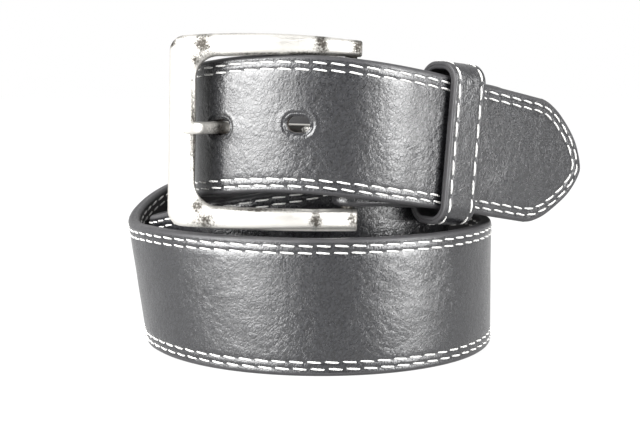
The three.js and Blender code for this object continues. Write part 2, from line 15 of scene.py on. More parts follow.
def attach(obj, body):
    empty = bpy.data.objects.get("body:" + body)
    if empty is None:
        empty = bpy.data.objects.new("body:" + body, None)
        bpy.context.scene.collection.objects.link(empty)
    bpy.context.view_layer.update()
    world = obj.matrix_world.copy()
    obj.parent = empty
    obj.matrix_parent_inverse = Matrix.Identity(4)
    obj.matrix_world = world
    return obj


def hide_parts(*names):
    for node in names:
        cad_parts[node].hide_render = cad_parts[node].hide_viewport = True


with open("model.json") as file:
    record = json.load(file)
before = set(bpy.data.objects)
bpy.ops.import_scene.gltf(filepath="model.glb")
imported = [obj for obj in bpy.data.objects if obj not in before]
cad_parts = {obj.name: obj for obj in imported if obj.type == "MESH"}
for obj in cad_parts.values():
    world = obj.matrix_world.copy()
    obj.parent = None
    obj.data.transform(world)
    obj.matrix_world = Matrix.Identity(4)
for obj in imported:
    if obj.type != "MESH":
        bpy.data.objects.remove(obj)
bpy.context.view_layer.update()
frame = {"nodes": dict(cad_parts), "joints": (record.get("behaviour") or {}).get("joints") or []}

MM = 0.001
JOINTS = {joint["name"]: joint for joint in frame["joints"]}

# ------------------------------------------------------------------ driving dimensions, millimetres

HALF_WIDTH = 20.0
THICKNESS = 4.0
FACE = 1.7
CORE = 1.0
LAYER_SEAM = 0.02
EDGE_ROUND = 1.25
STITCH_ROWS = {"outer": 2.2, "inner": 4.2}

TIP_LENGTH = 20.0
TIP_OUTLINE = [
    (-3.5, 20), (0, 19.3), (5, 17.1), (10, 13.6), (14.5, 9.6), (17.3, 6.0), (19.2, 2.6), (19.95, 0),
]
TIP_LEAD = 8.0

SLOT_COUNT = 5
SLOT_PITCH = 25.4
LAST_SLOT_FROM_TIP = 112.0
SLOT_LENGTH = 6.9
SLOT_HEIGHT = 4.7

WRAP_RADIUS = 5.0
TAIL_LENGTH = 19.0
TAIL_SETTLED = 9.0
TAIL_DEPTH = THICKNESS + 0.5 + 1.6
LAYERS_START = 7.0
PRONG_SLOT = {"back": 7.5, "forward": 5.5, "height": 7.2, "rise": 2.2}
RIVET = {"along": 13.5, "across": 9.0, "hole": 1.5}

FRAME = {
    "half_width": 28.15, "right": 28.2, "front_bar": 8.3, "outer_radius": 4.5, "inner_radius": 7.0,
    "centre_x": -16.6, "centre_z": 69.6, "crest_x": 3.0, "crest_y": -53.2, "bow_radius": 52.6,
    "thickness": 4.2, "heel_extra": 2.6, "roll": math.radians(1.5),
}
ARM = {"top_outer": 27.4, "top_inner": 22.8, "bottom_outer": 28.3, "bottom_inner": 21.9}
HEEL_BAR_RADIUS = 1.8
PRONG_LIFT = 1.0

KEEPER = {
    "from_tip": 58.6, "skew": math.radians(4.4), "width": 12.7, "ply": 1.15, "gap": 0.1,
    "front": 1.0, "back": 10.2, "top": 22.4, "bottom": -22.0, "radius": 4.0, "bevel": 0.55,
    "seam": 0.5, "row": 1.9,
}
KEEPER_OUTSIDE = 2 * KEEPER["ply"] + KEEPER["gap"]

# The strap's route from the heel bar to the tip, on its outer face:
# turn round the coil in degrees from the front, radius, height of the lower edge, lean in degrees.
# In the nine rows from 1033.1 to 1125.8 the turn and radius come from a least-squares fit, and
# the rows up to 82 and after 1125.8 were worked out from that fit.
ON_TABLE = -0.05
ROUTE = np.array([
    (11.5, 47.9, 48.0, 0.6), (24, 47.95, 47.6, 1), (35, 47.6, 46.9, 1.2), (46.6, 48.4, 46.0, 1.2),
    (57.4, 51.0, 45.0, 1), (63, 53.0, 44.5, 1), (72, 56.8, 43.5, 1), (82, 60.2, 42.3, 0.5),
    (95, 62.0, 40.9, 0), (120, 62.4, 35.4, 0), (150, 62.3, 28.5, 0), (180, 62.2, 21.7, 0),
    (210, 62.2, 14.9, 1.5), (240, 62.0, 8.0, 4), (262, 61.3, 2.6, 7), (278, 60.6, ON_TABLE, 8),
    (300, 59.6, ON_TABLE, 5), (330, 58.3, ON_TABLE, 0), (360, 57.8, ON_TABLE, -2.5),
    (400, 57.6, ON_TABLE, -2.5), (430, 57.0, ON_TABLE, -1), (450, 56.6, ON_TABLE, 0),
    (480, 56.8, ON_TABLE, 0), (510, 57.2, ON_TABLE, 0), (540, 57.2, ON_TABLE, 0),
    (570, 57.0, ON_TABLE, 1.5), (600, 56.3, ON_TABLE, 4), (622, 55.5, ON_TABLE, 6.5),
    (640, 53.6, 1.2, 6), (660, 50.0, 4.6, 4), (680, 45.4, 8.6, 2), (700, 39.4, 11.6, 0),
    (720, 36.5, 13.8, 0), (750, 38.2, 18.5, 0), (780, 41.2, 23.3, 0), (810, 43.0, 28.0, 0),
    (855, 44.0, 34.5, 0), (900, 44.0, 40.0, 0), (945, 42.5, 43.8, 0), (980, 40.6, 45.9, 0),
    (1005, 41.5, 47.7, 0), (1020, 45.2, 48.9, 0),
    (1033.1, 50.8, 50.0, 0), (1044.2, 51.8, 51.1, 0), (1055.2, 52.1, 52.0, 0), (1071.6, 52.3, 52.3, 0.3),
    (1082.6, 52.6, 51.8, 0.6), (1093.4, 53.0, 50.7, 1), (1104.2, 53.1, 49.3, 1.2), (1115, 52.8, 47.8, 1.4),
    (1125.8, 53.5, 46.1, 1.2), (1135.9, 55.9, 44.5, 1), (1145.1, 59.8, 42.8, 1), (1152.9, 65.0, 41.0, 1),
    (1159.5, 71.1, 39.2, 1), (1165.1, 78.1, 37.4, 1), (1170.5, 87.2, 35.2, 1),
])
SAMPLES_PER_DEGREE = 2

# Over these last stretches the strap's width turns from upright to square with its route.
SQUARE_FROM = 190.0
SQUARE_BY = 110.0

# The prong in plan, from the heel bar to the tip that rests on the front bar.
PRONG_ROUTE = [
    (-6, -42.0), (-16, -40.6), (-24, -38.7), (-28.3, -38.8), (-31.2, -41.2), (-33.6, -45.0),
    (-36.0, -48.7), (-40.6, -49.0),
]

CAMERA = {"lens": 65.458125, "sensor": 36.0, "distance": 386.5, "height": 83.9, "pitch": 0.111}


# ------------------------------------------------------------------ small mathematics

def smoothstep(x, low, high):
    t = np.clip((x - low) / (high - low), 0.0, 1.0)
    return t * t * (3 - 2 * t)


def unit(vectors):
    return vectors / np.linalg.norm(vectors, axis=-1, keepdims=True)


def hump(x, middle, spread):
    """A smooth bump of height 1 at middle."""
    return np.exp(-((x - middle) / spread) ** 2)


def catmull(points, step):
    """A smooth curve through the points, resampled at about the given step."""
    points = np.asarray(points, float)
    padded = np.vstack([2 * points[0] - points[1], points, 2 * points[-1] - points[-2]])
    curve = []
    for i in range(1, len(padded) - 2):
        p0, p1, p2, p3 = padded[i - 1:i + 3]
        count = max(2, math.ceil(np.linalg.norm(p2 - p1) / step))
        for t in np.arange(count) / count:
            curve.append(0.5 * (2 * p1 + (p2 - p0) * t + (2 * p0 - 5 * p1 + 4 * p2 - p3) * t ** 2
                                + (3 * p1 - p0 - 3 * p2 + p3) * t ** 3))
    curve.append(points[-1])
    return np.array(curve)


def interpolate(at, positions, values):
    """Linear interpolation of each column of values."""
    return np.stack([np.interp(at, positions, column) for column in values.T], axis=-1)


def running_length(points):
    steps = np.linalg.norm(np.diff(points, axis=0), axis=1)
    return np.concatenate([[0.0], np.cumsum(steps)])


# ------------------------------------------------------------------ the strap's route

def route_slopes():
    spans = np.diff(ROUTE[:, 0])
    chords = np.diff(ROUTE[:, 1:], axis=0) / spans[:, None]
    before, after = spans[:-1, None], spans[1:, None]
    inner = (chords[:-1] * after + chords[1:] * before) / (before + after)
    return np.vstack([chords[0], inner, chords[-1]])


SLOPES = route_slopes()


def route_values(turn):
    """Radius, lower edge and lean at each turn angle, by cubic Hermite curves."""
    i = np.clip(np.searchsorted(ROUTE[:, 0], turn, side="left") - 1, 0, len(ROUTE) - 2)
    span = (ROUTE[i + 1, 0] - ROUTE[i, 0])[..., None]
    t = (turn - ROUTE[i, 0])[..., None] / span
    start = (1 + 2 * t) * (1 - t) ** 2 * ROUTE[i, 1:] + t * (1 - t) ** 2 * span * SLOPES[i]
    end = t * t * (3 - 2 * t) * ROUTE[i + 1, 1:] + t * t * (t - 1) * span * SLOPES[i + 1]
    return start + end


def face_centre(turn):
    radius, lower, lean = np.moveaxis(route_values(turn), -1, 0)
    angle = np.radians(turn)
    height = lower + HALF_WIDTH * np.cos(np.radians(lean))
    return np.stack([radius * np.sin(angle), -radius * np.cos(angle), height], axis=-1)


FIRST_TURN, LAST_TURN = ROUTE[0, 0], ROUTE[-1, 0]
TURNS = np.linspace(FIRST_TURN, LAST_TURN, round((LAST_TURN - FIRST_TURN) * SAMPLES_PER_DEGREE) + 1)
LENGTHS = running_length(face_centre(TURNS))
STRAP_LENGTH = LENGTHS[-1]
TIP_START = STRAP_LENGTH - TIP_LENGTH
SLOT_LENGTHS = [STRAP_LENGTH - LAST_SLOT_FROM_TIP - i * SLOT_PITCH for i in range(SLOT_COUNT)]


def strap_frames(length):
    """Centre of the face, and the directions along, up and out of the strap, at each length."""
    length = np.asarray(length, float)
    turn = np.interp(length, LENGTHS, TURNS)
    centre = face_centre(turn)
    along = unit(face_centre(turn + 0.2) - face_centre(turn - 0.2))
    sideways = unit(np.stack([along[..., 1], -along[..., 0], np.zeros_like(turn)], axis=-1))
    lean = np.radians(route_values(turn)[..., 2])[..., None]
    upright = np.array([0.0, 0.0, 1.0]) * np.cos(lean) + sideways * np.sin(lean)
    climb = (upright * along).sum(-1, keepdims=True)
    square = smoothstep(length, STRAP_LENGTH - SQUARE_FROM, STRAP_LENGTH - SQUARE_BY)[..., None]
    up = (upright - along * square * climb) / np.sqrt(1 - climb ** 2)
    return centre, along, up, unit(np.cross(along, up))


HEEL_CENTRE, HEEL_ALONG, HEEL_UP, HEEL_OUT = strap_frames(0.0)
HEEL_AXIS = HEEL_CENTRE - WRAP_RADIUS * HEEL_OUT

# From the coil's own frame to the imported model's: the heel bar is the buckle's hinge.
HINGE = np.array(JOINTS["frame_swing"]["pos_m"]) / MM
SHIFT = np.array([HINGE[0] - HEEL_AXIS[0], HINGE[1] - HEEL_AXIS[1], 0.0])


def grain_frames(length):
    """As strap_frames for the grain side of the face leather, which at negative lengths wraps
    the heel bar and then runs back behind the strap."""
    length = np.asarray(length, float)
    wrap_end = -math.pi * WRAP_RADIUS
    centre, along, up, out = strap_frames(np.maximum(length, 0.0))
    angle = (-np.clip(length, wrap_end, 0.0) / WRAP_RADIUS)[..., None]
    wrap_out = np.cos(angle) * HEEL_OUT - np.sin(angle) * HEEL_ALONG
    wrap_along = np.cos(angle) * HEEL_ALONG + np.sin(angle) * HEEL_OUT
    on_wrap = (length < 0)[..., None]
    centre = np.where(on_wrap, HEEL_AXIS + WRAP_RADIUS * wrap_out, centre)
    along = np.where(on_wrap, wrap_along, along)
    out = np.where(on_wrap, wrap_out, out)
    up = np.where(on_wrap, HEEL_UP, up)
    back = np.maximum(wrap_end - length, 0.0)
    tail_centre, tail_along, tail_up, tail_out = strap_frames(back)
    depth = 2 * WRAP_RADIUS + (TAIL_DEPTH - 2 * WRAP_RADIUS) * smoothstep(back, 0.0, TAIL_SETTLED)
    on_tail = (length < wrap_end)[..., None]
    centre = np.where(on_tail, tail_centre - depth[..., None] * tail_out, centre)
    along = np.where(on_tail, -tail_along, along)
    out = np.where(on_tail, -tail_out, out)
    up = np.where(on_tail, tail_up, up)
    return centre, along, up, out


def strap_point(length, width, height):
    """Points at a height out of the grain side; nothing goes below the table."""
    centre, _, up, out = grain_frames(length)
    points = centre + up * np.asarray(width)[..., None] + out * np.asarray(height)[..., None]
    points[..., 2] = np.maximum(points[..., 2], 0.0)
    return points


# ------------------------------------------------------------------ meshes

def new_piece(name, points, faces):
    """A mesh object from points in the coil's frame, in millimetres."""
    mesh = bpy.data.meshes.new(name)
    placed = (np.asarray(points).reshape(-1, 3) + SHIFT) * MM
    mesh.from_pydata(placed.tolist(), [], faces)
    piece = bpy.data.objects.new(name, mesh)
    bpy.context.scene.collection.objects.link(piece)
    return piece


def face_outwards(mesh, merge_distance=None):
    """Turns every face outwards, after merging points within a distance in metres."""
    bm = bmesh.new()
    bm.from_mesh(mesh)
    if merge_distance is not None:
        bmesh.ops.remove_doubles(bm, verts=bm.verts, dist=merge_distance)
    bmesh.ops.recalc_face_normals(bm, faces=bm.faces)
    bm.to_mesh(mesh)
    bm.free()


def shade(mesh, sharp_degrees):
    mesh.shade_smooth()
    mesh.set_sharp_from_angle(angle=math.radians(sharp_degrees))


def add_uv(mesh, name, values):
    """A UV map from one pair of values per point."""
    uv = mesh.uv_layers.new(name=name)
    corner = np.zeros(len(mesh.loops), np.int32)
    mesh.loops.foreach_get("vertex_index", corner)
    uv.data.foreach_set("uv", values[corner].astype(np.float32).ravel())


def make_mesh(name, points, faces, sharp_degrees=40.0):
    """A closed, welded and smoothly shaded body."""
    piece = new_piece(name, points, faces)
    face_outwards(piece.data, 1e-7)
    shade(piece.data, sharp_degrees)
    return piece


def strap_piece(name, grid, faces, length, width):
    """A strap piece whose "strap" UV map holds its place on the flat strap, in metres."""
    piece = new_piece(name, grid, faces)
    add_uv(piece.data, "strap", np.stack([length.ravel(), width.ravel()], axis=-1) * MM)
    shade(piece.data, 50.0)
    return piece


def grid_faces(rows, columns, wrap_columns=True, caps=False):
    """Quads over a grid of points, closed round its columns."""
    faces = []
    for r in range(rows - 1):
        for c in range(columns if wrap_columns else columns - 1):
            n = (c + 1) % columns
            faces.append((r * columns + c, r * columns + n, (r + 1) * columns + n, (r + 1) * columns + c))
    if caps:
        faces.append(tuple(range(columns))[::-1])
        faces.append(tuple((rows - 1) * columns + c for c in range(columns)))
    return faces


def repeat_faces(one, size, count):
    """The faces of a body of size points, once for each of count bodies."""
    return [tuple(v + k * size for v in face) for k in range(count) for face in one]


def apply_modifier(piece, kind, **settings):
    modifier = piece.modifiers.new(kind.lower(), kind)
    for key, value in settings.items():
        setattr(modifier, key, value)
    bpy.context.view_layer.objects.active = piece
    with bpy.context.temp_override(object=piece, active_object=piece):
        bpy.ops.object.modifier_apply(modifier=modifier.name)


def boolean(piece, tool, operation="DIFFERENCE"):
    apply_modifier(piece, "BOOLEAN", object=tool, operation=operation, solver="EXACT")
    bpy.data.objects.remove(tool)


def paint(piece, material, slot, body, *nodes):
    """Gives a finished piece its material, and its place in the frame."""
    if material is not None:
        piece.data.materials.clear()
        piece.data.materials.append(material)
    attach(piece, body)
    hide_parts(*nodes)
    return piece


# ------------------------------------------------------------------ materials

class Nodes:
    """Short calls for building a material's node tree."""

    def __init__(self, name):
        self.material = bpy.data.materials.new(name)
        self.material.use_nodes = True
        self.tree = self.material.node_tree
        self.shader = self.tree.nodes["Principled BSDF"]

    def add(self, kind, inputs=None, **settings):
        node = self.tree.nodes.new(kind)
        for key, value in settings.items():
            setattr(node, key, value)
        for key, value in (inputs or {}).items():
            self.feed(node.inputs[key], value)
        return node

    def feed(self, socket, value):
        if isinstance(value, bpy.types.NodeSocket):
            self.tree.links.new(value, socket)
        else:
            socket.default_value = value

    def math(self, operation, a, b=0.0, c=0.0, clamp=False):
        node = self.add("ShaderNodeMath", {0: a, 1: b, 2: c}, operation=operation, use_clamp=clamp)
        return node.outputs[0]

    def vector(self, operation, inputs):
        return self.add("ShaderNodeVectorMath", inputs, operation=operation).outputs[0]

    def ramp(self, value, low, high, start=0.0, end=1.0):
        node = self.add("ShaderNodeMapRange", {"Value": value, "From Min": low, "From Max": high,
                                               "To Min": start, "To Max": end},
                        interpolation_type="SMOOTHSTEP")
        return node.outputs["Result"]

    def mix(self, share, a, b):
        node = self.add("ShaderNodeMix", data_type="RGBA")
        self.feed(node.inputs["Factor"], share)
        self.feed(node.inputs["A"], a)
        self.feed(node.inputs["B"], b)
        return node.outputs["Result"]

    def noise(self, vector, scale, detail=3.0, roughness=0.5, distortion=0.0):
        node = self.add("ShaderNodeTexNoise", {"Vector": vector, "Scale": scale, "Detail": detail,
                                               "Roughness": roughness, "Distortion": distortion})
        return node.outputs["Fac"]

    def cells(self, vector, scale, feature="F1", randomness=1.0, smoothness=0.4):
        inputs = {"Vector": vector, "Scale": scale, "Randomness": randomness}
        if feature == "SMOOTH_F1":
            inputs["Smoothness"] = smoothness
        return self.add("ShaderNodeTexVoronoi", inputs, feature=feature).outputs["Distance"]

    def bump(self, height, strength, distance, normal=None):
        inputs = {"Height": height, "Strength": strength, "Distance": distance}
        if normal is not None:
            inputs["Normal"] = normal
        return self.add("ShaderNodeBump", inputs).outputs["Normal"]

    def set(self, **values):
        for key, value in values.items():
            self.feed(self.shader.inputs[key.replace("_", " ")], value)
        return self.material


def colour(r, g, b):
    return (r, g, b, 1.0)


def strap_vector(nodes):
    """The flat strap's own coordinates, in metres: along it, up its width."""
    return nodes.add("ShaderNodeUVMap", uv_map="strap").outputs["UV"]


def grain_leather():
    """Black pebble-grained leather: soft pebbles, fine slanting wrinkles and pores, in a satin finish."""
    nodes = Nodes("grain_leather")
    flat = strap_vector(nodes)
    warp = nodes.add("ShaderNodeTexNoise", {"Vector": flat, "Scale": 240.0, "Detail": 2.0}).outputs["Color"]
    shifted = nodes.vector("SUBTRACT", {0: warp, 1: (0.5, 0.5, 0.5)})
    scaled = nodes.vector("SCALE", {0: shifted, "Scale": 0.0022})
    warped = nodes.vector("ADD", {0: flat, 1: scaled})
    slanted = nodes.add("ShaderNodeMapping", {"Vector": warped, "Rotation": (0, 0, math.radians(55)),
                                              "Scale": (1.6, 1.0, 1.0)}, vector_type="TEXTURE").outputs[0]
    pebbles = nodes.cells(warped, 520.0, "SMOOTH_F1", 0.9, 0.5)
    creases = nodes.ramp(nodes.cells(slanted, 1050.0, "DISTANCE_TO_EDGE", 0.95), 0.0, 0.2)
    fine = nodes.noise(slanted, 2600.0, 3.0, 0.65)
    patch = nodes.ramp(nodes.noise(flat, 42.0, 3.0), 0.34, 0.66, 0.3, 1.0)
    height = nodes.math("MULTIPLY", nodes.math("SUBTRACT", 1.0, pebbles), patch)
    height = nodes.math("MULTIPLY_ADD", creases, nodes.math("MULTIPLY_ADD", patch, 0.16, 0.12), height)
    height = nodes.math("MULTIPLY_ADD", fine, 0.5, height)
    swell = nodes.noise(flat, 110.0, 3.0, 0.55)
    broad = nodes.bump(swell, 0.2, 0.0012)
    normal = nodes.bump(height, 0.47, 0.00024, broad)
    tone = nodes.mix(creases, colour(0.0035, 0.0035, 0.0042), colour(0.0095, 0.0098, 0.0115))
    rough = nodes.ramp(fine, 0.35, 0.65, 0.37, 0.25)
    return nodes.set(Base_Color=tone, Roughness=rough, Normal=normal, Specular_IOR_Level=0.7)


def edge_paint():
    """Dark grey edge paint: smooth, slightly uneven, satin."""
    nodes = Nodes("edge_paint")
    place = nodes.add("ShaderNodeTexCoord").outputs["Object"]
    broad = nodes.noise(place, 220.0, 3.0)
    fine = nodes.noise(place, 1500.0, 3.0)
    tone = nodes.mix(broad, colour(0.016, 0.016, 0.018), colour(0.032, 0.031, 0.032))
    rough = nodes.ramp(fine, 0.3, 0.7, 0.4, 0.52)
    normal = nodes.bump(nodes.math("ADD", broad, nodes.math("MULTIPLY", fine, 0.3)), 0.3, 0.0003)
    return nodes.set(Base_Color=tone, Roughness=rough, Normal=normal, Specular_IOR_Level=0.35)


def lining_leather():
    """Smooth black lining leather with a faint fine grain."""
    nodes = Nodes("lining_leather")
    flat = strap_vector(nodes)
    pores = nodes.cells(flat, 1500.0, "F1", 1.0)
    broad = nodes.noise(flat, 120.0, 4.0)
    fine = nodes.noise(flat, 2200.0, 3.0)
    tone = nodes.mix(broad, colour(0.014, 0.014, 0.015), colour(0.028, 0.027, 0.027))
    rough = nodes.ramp(fine, 0.3, 0.7, 0.45, 0.62)
    height = nodes.math("ADD", nodes.ramp(pores, 0.0, 0.35), nodes.math("MULTIPLY", fine, 0.4))
    return nodes.set(Base_Color=tone, Roughness=rough, Normal=nodes.bump(height, 0.35, 0.00012))


def leather_board():
    """Dark brown bonded leather board: short matted fibres."""
    nodes = Nodes("leather_board")
    place = nodes.add("ShaderNodeTexCoord").outputs["Object"]
    fibres = nodes.noise(place, 1800.0, 5.0, 0.7, 1.5)
    tone = nodes.mix(fibres, colour(0.02, 0.015, 0.012), colour(0.06, 0.045, 0.035))
    return nodes.set(Base_Color=tone, Roughness=0.85, Normal=nodes.bump(fibres, 0.6, 0.0002))


def white_thread():
    """Waxed white thread, twisted from three plies; the plies follow the thread's own coordinates."""
    nodes = Nodes("white_thread")
    thread = nodes.add("ShaderNodeUVMap", uv_map="thread").outputs["UV"]
    split = nodes.add("ShaderNodeSeparateXYZ", {0: thread})
    around = nodes.math("MULTIPLY", split.outputs["Y"], 3.0)
    phase = nodes.math("MULTIPLY_ADD", split.outputs["X"], 3.5, around)
    ply = nodes.math("ABSOLUTE", nodes.math("SINE", nodes.math("MULTIPLY", phase, math.pi)))
    place = nodes.add("ShaderNodeTexCoord").outputs["Object"]
    dust = nodes.noise(place, 900.0, 3.0)
    # Painted shade: the grooves between the plies are coloured darker than the crests.
    tone = nodes.mix(nodes.ramp(ply, 0.0, 0.5), colour(0.26, 0.255, 0.245), colour(0.52, 0.515, 0.5))
    tone = nodes.mix(nodes.ramp(dust, 0.62, 0.8, 0.0, 0.35), tone, colour(0.36, 0.35, 0.33))
    normal = nodes.bump(ply, 0.7, 0.00016)
    return nodes.set(Base_Color=tone, Roughness=0.6, Normal=normal, Sheen_Weight=0.15)


def antique_nickel():
    """Antique nickel plate: polished, warm and bright, with dark speckled patches from a per-vertex mark
    that holds real tarnish, painted shade in corners and behind the face, and painted dark reflections.
    """
    nodes = Nodes("antique_nickel")
    place = nodes.add("ShaderNodeTexCoord").outputs["Object"]
    age_and_shade = nodes.add("ShaderNodeAttribute", attribute_name="patina_and_shade").outputs["Fac"]
    cloud = nodes.noise(place, 330.0, 4.0, 0.65)
    speckle = nodes.noise(place, 1700.0, 4.0, 0.75)
    spread = nodes.math("MULTIPLY_ADD", nodes.math("SUBTRACT", cloud, 0.5), 0.55, age_and_shade)
    spread = nodes.math("MULTIPLY_ADD", nodes.math("SUBTRACT", speckle, 0.5), 0.9, spread)
    grainy = nodes.ramp(spread, 0.26, 0.8, 0.0, 0.97)
    warm = nodes.mix(cloud, colour(0.6, 0.58, 0.54), colour(0.7, 0.69, 0.66))
    # Dark colour where the mark is high: real tarnish, and painted shade and painted dark reflections.
    tone = nodes.mix(grainy, warm, colour(0.022, 0.0185, 0.0145))
    satin = nodes.ramp(speckle, 0.3, 0.7, 0.36, 0.46)
    rough = nodes.math("ADD", satin, nodes.math("MULTIPLY", grainy, 0.25))
    etched = nodes.math("MULTIPLY", grainy, 0.5)
    height = nodes.math("SUBTRACT", nodes.math("MULTIPLY", speckle, 0.35), etched)
    normal = nodes.bump(height, 0.35, 0.00012)
    return nodes.set(Base_Color=tone, Metallic=1.0, Roughness=rough, Normal=normal)


def dull_brass():
    """Plain brass hardware with light tarnish."""
    nodes = Nodes("dull_brass")
    place = nodes.add("ShaderNodeTexCoord").outputs["Object"]
    cloud = nodes.noise(place, 500.0, 4.0, 0.6)
    scratch = nodes.noise(place, 3500.0, 2.0)
    tone = nodes.mix(nodes.ramp(cloud, 0.4, 0.75), colour(0.78, 0.55, 0.25), colour(0.4, 0.26, 0.1))
    rough = nodes.ramp(cloud, 0.3, 0.8, 0.22, 0.45)
    normal = nodes.bump(scratch, 0.12, 0.00008)
    return nodes.set(Base_Color=tone, Metallic=1.0, Roughness=rough, Normal=normal)


LEATHER = grain_leather()
EDGE = edge_paint()
LINING = lining_leather()
BOARD = leather_board()
THREAD = white_thread()
NICKEL = antique_nickel()
BRASS = dull_brass()


# ------------------------------------------------------------------ the strap

def tip_outline():
    """The upper and lower sides of the tip as one smooth curve, from its lead-in above to below."""
    upper = [(-TIP_LEAD, HALF_WIDTH), (-TIP_LEAD / 2, HALF_WIDTH), *TIP_OUTLINE]
    lower = [(along, -half) for along, half in upper[-2::-1]]
    curve = catmull(upper + lower, 0.8)
    curve[:, 0] += TIP_START
    return curve


def body_lengths(start):
    """Section lengths of the straight-sided strap, closer together beside each slot."""
    coarse = np.linspace(start, TIP_START - TIP_LEAD, round((TIP_START - TIP_LEAD - start) / 1.6) + 1)
    fine = np.concatenate([np.arange(-6.5, 6.51, 0.3) + slot for slot in SLOT_LENGTHS])
    apart = np.abs(coarse[:, None] - fine[None, :]).min(axis=1) > 0.7
    apart[[0, -1]] = True
    return np.sort(np.concatenate([coarse[apart], fine]))[:-1]


def outline(start):
    """Points round the strap's edge as (length, width), with the direction inwards at each."""
    lengths = body_lengths(start)
    upper = np.stack([lengths, np.full_like(lengths, HALF_WIDTH)], axis=-1)
    tip = tip_outline()
    points = np.vstack([upper, tip, upper[::-1] * (1, -1)])
    tangent = unit(np.gradient(tip, axis=0))
    tip_inward = np.stack([tangent[:, 1], -tangent[:, 0]], axis=-1)
    down = np.tile((0.0, -1.0), (len(upper), 1))
    inward = np.vstack([down, tip_inward, -down])
    inward[len(upper)] = (0.0, -1.0)
    inward[len(upper) + len(tip) - 1] = (0.0, 1.0)
    return points, inward


BORDER = 5.0
MIDDLE_PULL = 0.42

# Height, distance from the slot's outline and spread of each wave of a rolled slot rim.
SLOT_RIM = [(0.1, 0.55, 0.3), (-0.2, 1.0, 0.32), (0.12, 1.8, 0.7)]
SLOT_DIP, SLOT_DIP_SPREAD = 0.6, 0.45
GROOVE_DEPTH, GROOVE_SPREAD = 0.16, 0.55
UNEVENNESS = 0.09


def inset_points(points, inward, inset):
    """The outline moved inwards: square to the edge in the border, then towards the middle line."""
    if inset <= BORDER:
        return points + inward * inset
    border = points + inward * BORDER
    past = np.maximum(points[:, 0] - (TIP_START - TIP_LEAD), 0.0)
    middle = np.stack([points[:, 0] - MIDDLE_PULL * past, np.zeros(len(points))], axis=-1)
    share = (inset - BORDER) / (HALF_WIDTH - BORDER)
    return border + (middle - border) * share


def slot_distance(length, width):
    """Distance outside the outline of the nearest slot."""
    reach = (SLOT_LENGTH - SLOT_HEIGHT) / 2
    distances = []
    for slot in SLOT_LENGTHS:
        past_end = np.maximum(np.abs(length - slot) - reach, 0.0)
        distances.append(np.hypot(past_end, width) - SLOT_HEIGHT / 2)
    return np.min(distances, axis=0)


def grain_relief(length, width, inset):
    """Height of the grain side: rolled slot rims, stitch grooves and the leather's slow unevenness."""
    away = slot_distance(length, width)
    relief = -SLOT_DIP * hump(np.maximum(away, 0.0), 0.0, SLOT_DIP_SPREAD)
    for height, distance, spread in SLOT_RIM:
        relief += height * hump(away, distance, spread)
    for row in STITCH_ROWS.values():
        relief -= GROOVE_DEPTH * hump(inset, row, GROOVE_SPREAD)
    relief += 0.07 * hump(inset, (STITCH_ROWS["outer"] + STITCH_ROWS["inner"]) / 2, 0.6)
    rough = [noise.noise(Vector((l * 0.11, w * 0.13, 0.0))) for l, w in zip(length.ravel(), width.ravel())]
    relief += UNEVENNESS * np.array(rough).reshape(length.shape) * smoothstep(inset, 0.5, 4.0)
    return relief


def face_rows():
    """Rows across the strap, centre line to edge: close together where the slots are."""
    near_slot = np.arange(0.0, 4.51, 0.3)
    wide = np.arange(5.5, 15.0, 1.2)
    border = [15.0, 15.4, 15.8, 16.2, 16.8, 17.3, 17.8, 18.3, 18.8]
    return [HALF_WIDTH - w for w in (*near_slot, *wide, *border)]


# The material slots of a leather piece: its upper side, its painted edge and its under side.
UPPER, PAINTED, UNDER = 0, 1, 2
SQUARE_EDGE = 0.04
WELD = 2e-6


def layer_rows(top, bottom, round_top, round_bottom):
    """A layer's section from its middle line over the edge and back: inset, height, material slot."""
    rows = [(inset, top, UPPER) for inset in face_rows()]
    if round_top:
        for angle in np.linspace(0.0, math.pi / 2, 7)[1:]:
            drop = EDGE_ROUND * (1 - math.cos(angle))
            rows.append((EDGE_ROUND * (1 - math.sin(angle)), top - drop, PAINTED))
    else:
        rows.append((SQUARE_EDGE, top, PAINTED))
    if round_bottom:
        for angle in np.linspace(0.0, math.pi / 2, 6)[:-1]:
            rise = EDGE_ROUND * (1 - math.sin(angle))
            rows.append((EDGE_ROUND * (1 - math.cos(angle)), bottom + rise, PAINTED))
    rows.append((EDGE_ROUND if round_bottom else SQUARE_EDGE, bottom, PAINTED))
    return rows + [(inset, bottom, UNDER) for inset in (1.6, 3.0, BORDER, 9.0, 13.0, HALF_WIDTH)]


def strip_material(first, second):
    """The material slot of the strip between two rows: paint wins."""
    return PAINTED if PAINTED in (first, second) else first


def layer(name, start, top, bottom, round_top, round_bottom, materials):
    """One leather layer of the strap, as a closed body with painted edges."""
    points, inward = outline(start)
    insets, levels, marks = zip(*layer_rows(top, bottom, round_top, round_bottom))
    moved = np.stack([inset_points(points, inward, inset) for inset in insets], axis=1)
    length, width = moved[..., 0], moved[..., 1]
    inset = np.tile(insets, (len(points), 1))
    height = np.tile(levels, (len(points), 1))
    if top == 0.0:
        grain = np.array(marks) == UPPER
        height[:, grain] += grain_relief(length[:, grain], width[:, grain], inset[:, grain])
    count, columns = length.shape
    faces = grid_faces(count, columns, wrap_columns=False)
    last_row = (count - 1) * columns
    faces.append((*range(columns), *(last_row + c for c in reversed(range(columns)))))
    piece = strap_piece(name, strap_point(length, width, height), faces, length, width)
    for material in materials:
        piece.data.materials.append(material)
    strips = [strip_material(a, b) for a, b in zip(marks, marks[1:])]
    for polygon in piece.data.polygons:
        polygon.material_index = strips[polygon.index % len(strips)]
    piece.data.polygons[len(faces) - 1].material_index = UNDER
    return piece


def strap_prism(length, flat, low, high):
    """A prism through the strap, from a flat outline of (along, up) about the point at a length."""
    centre, along, _, out = strap_frames(length)
    square_up = np.cross(out, along)
    outline_points = centre + flat[:, :1] * along + flat[:, 1:] * square_up
    return np.vstack([outline_points + out * level for level in (low, high)])


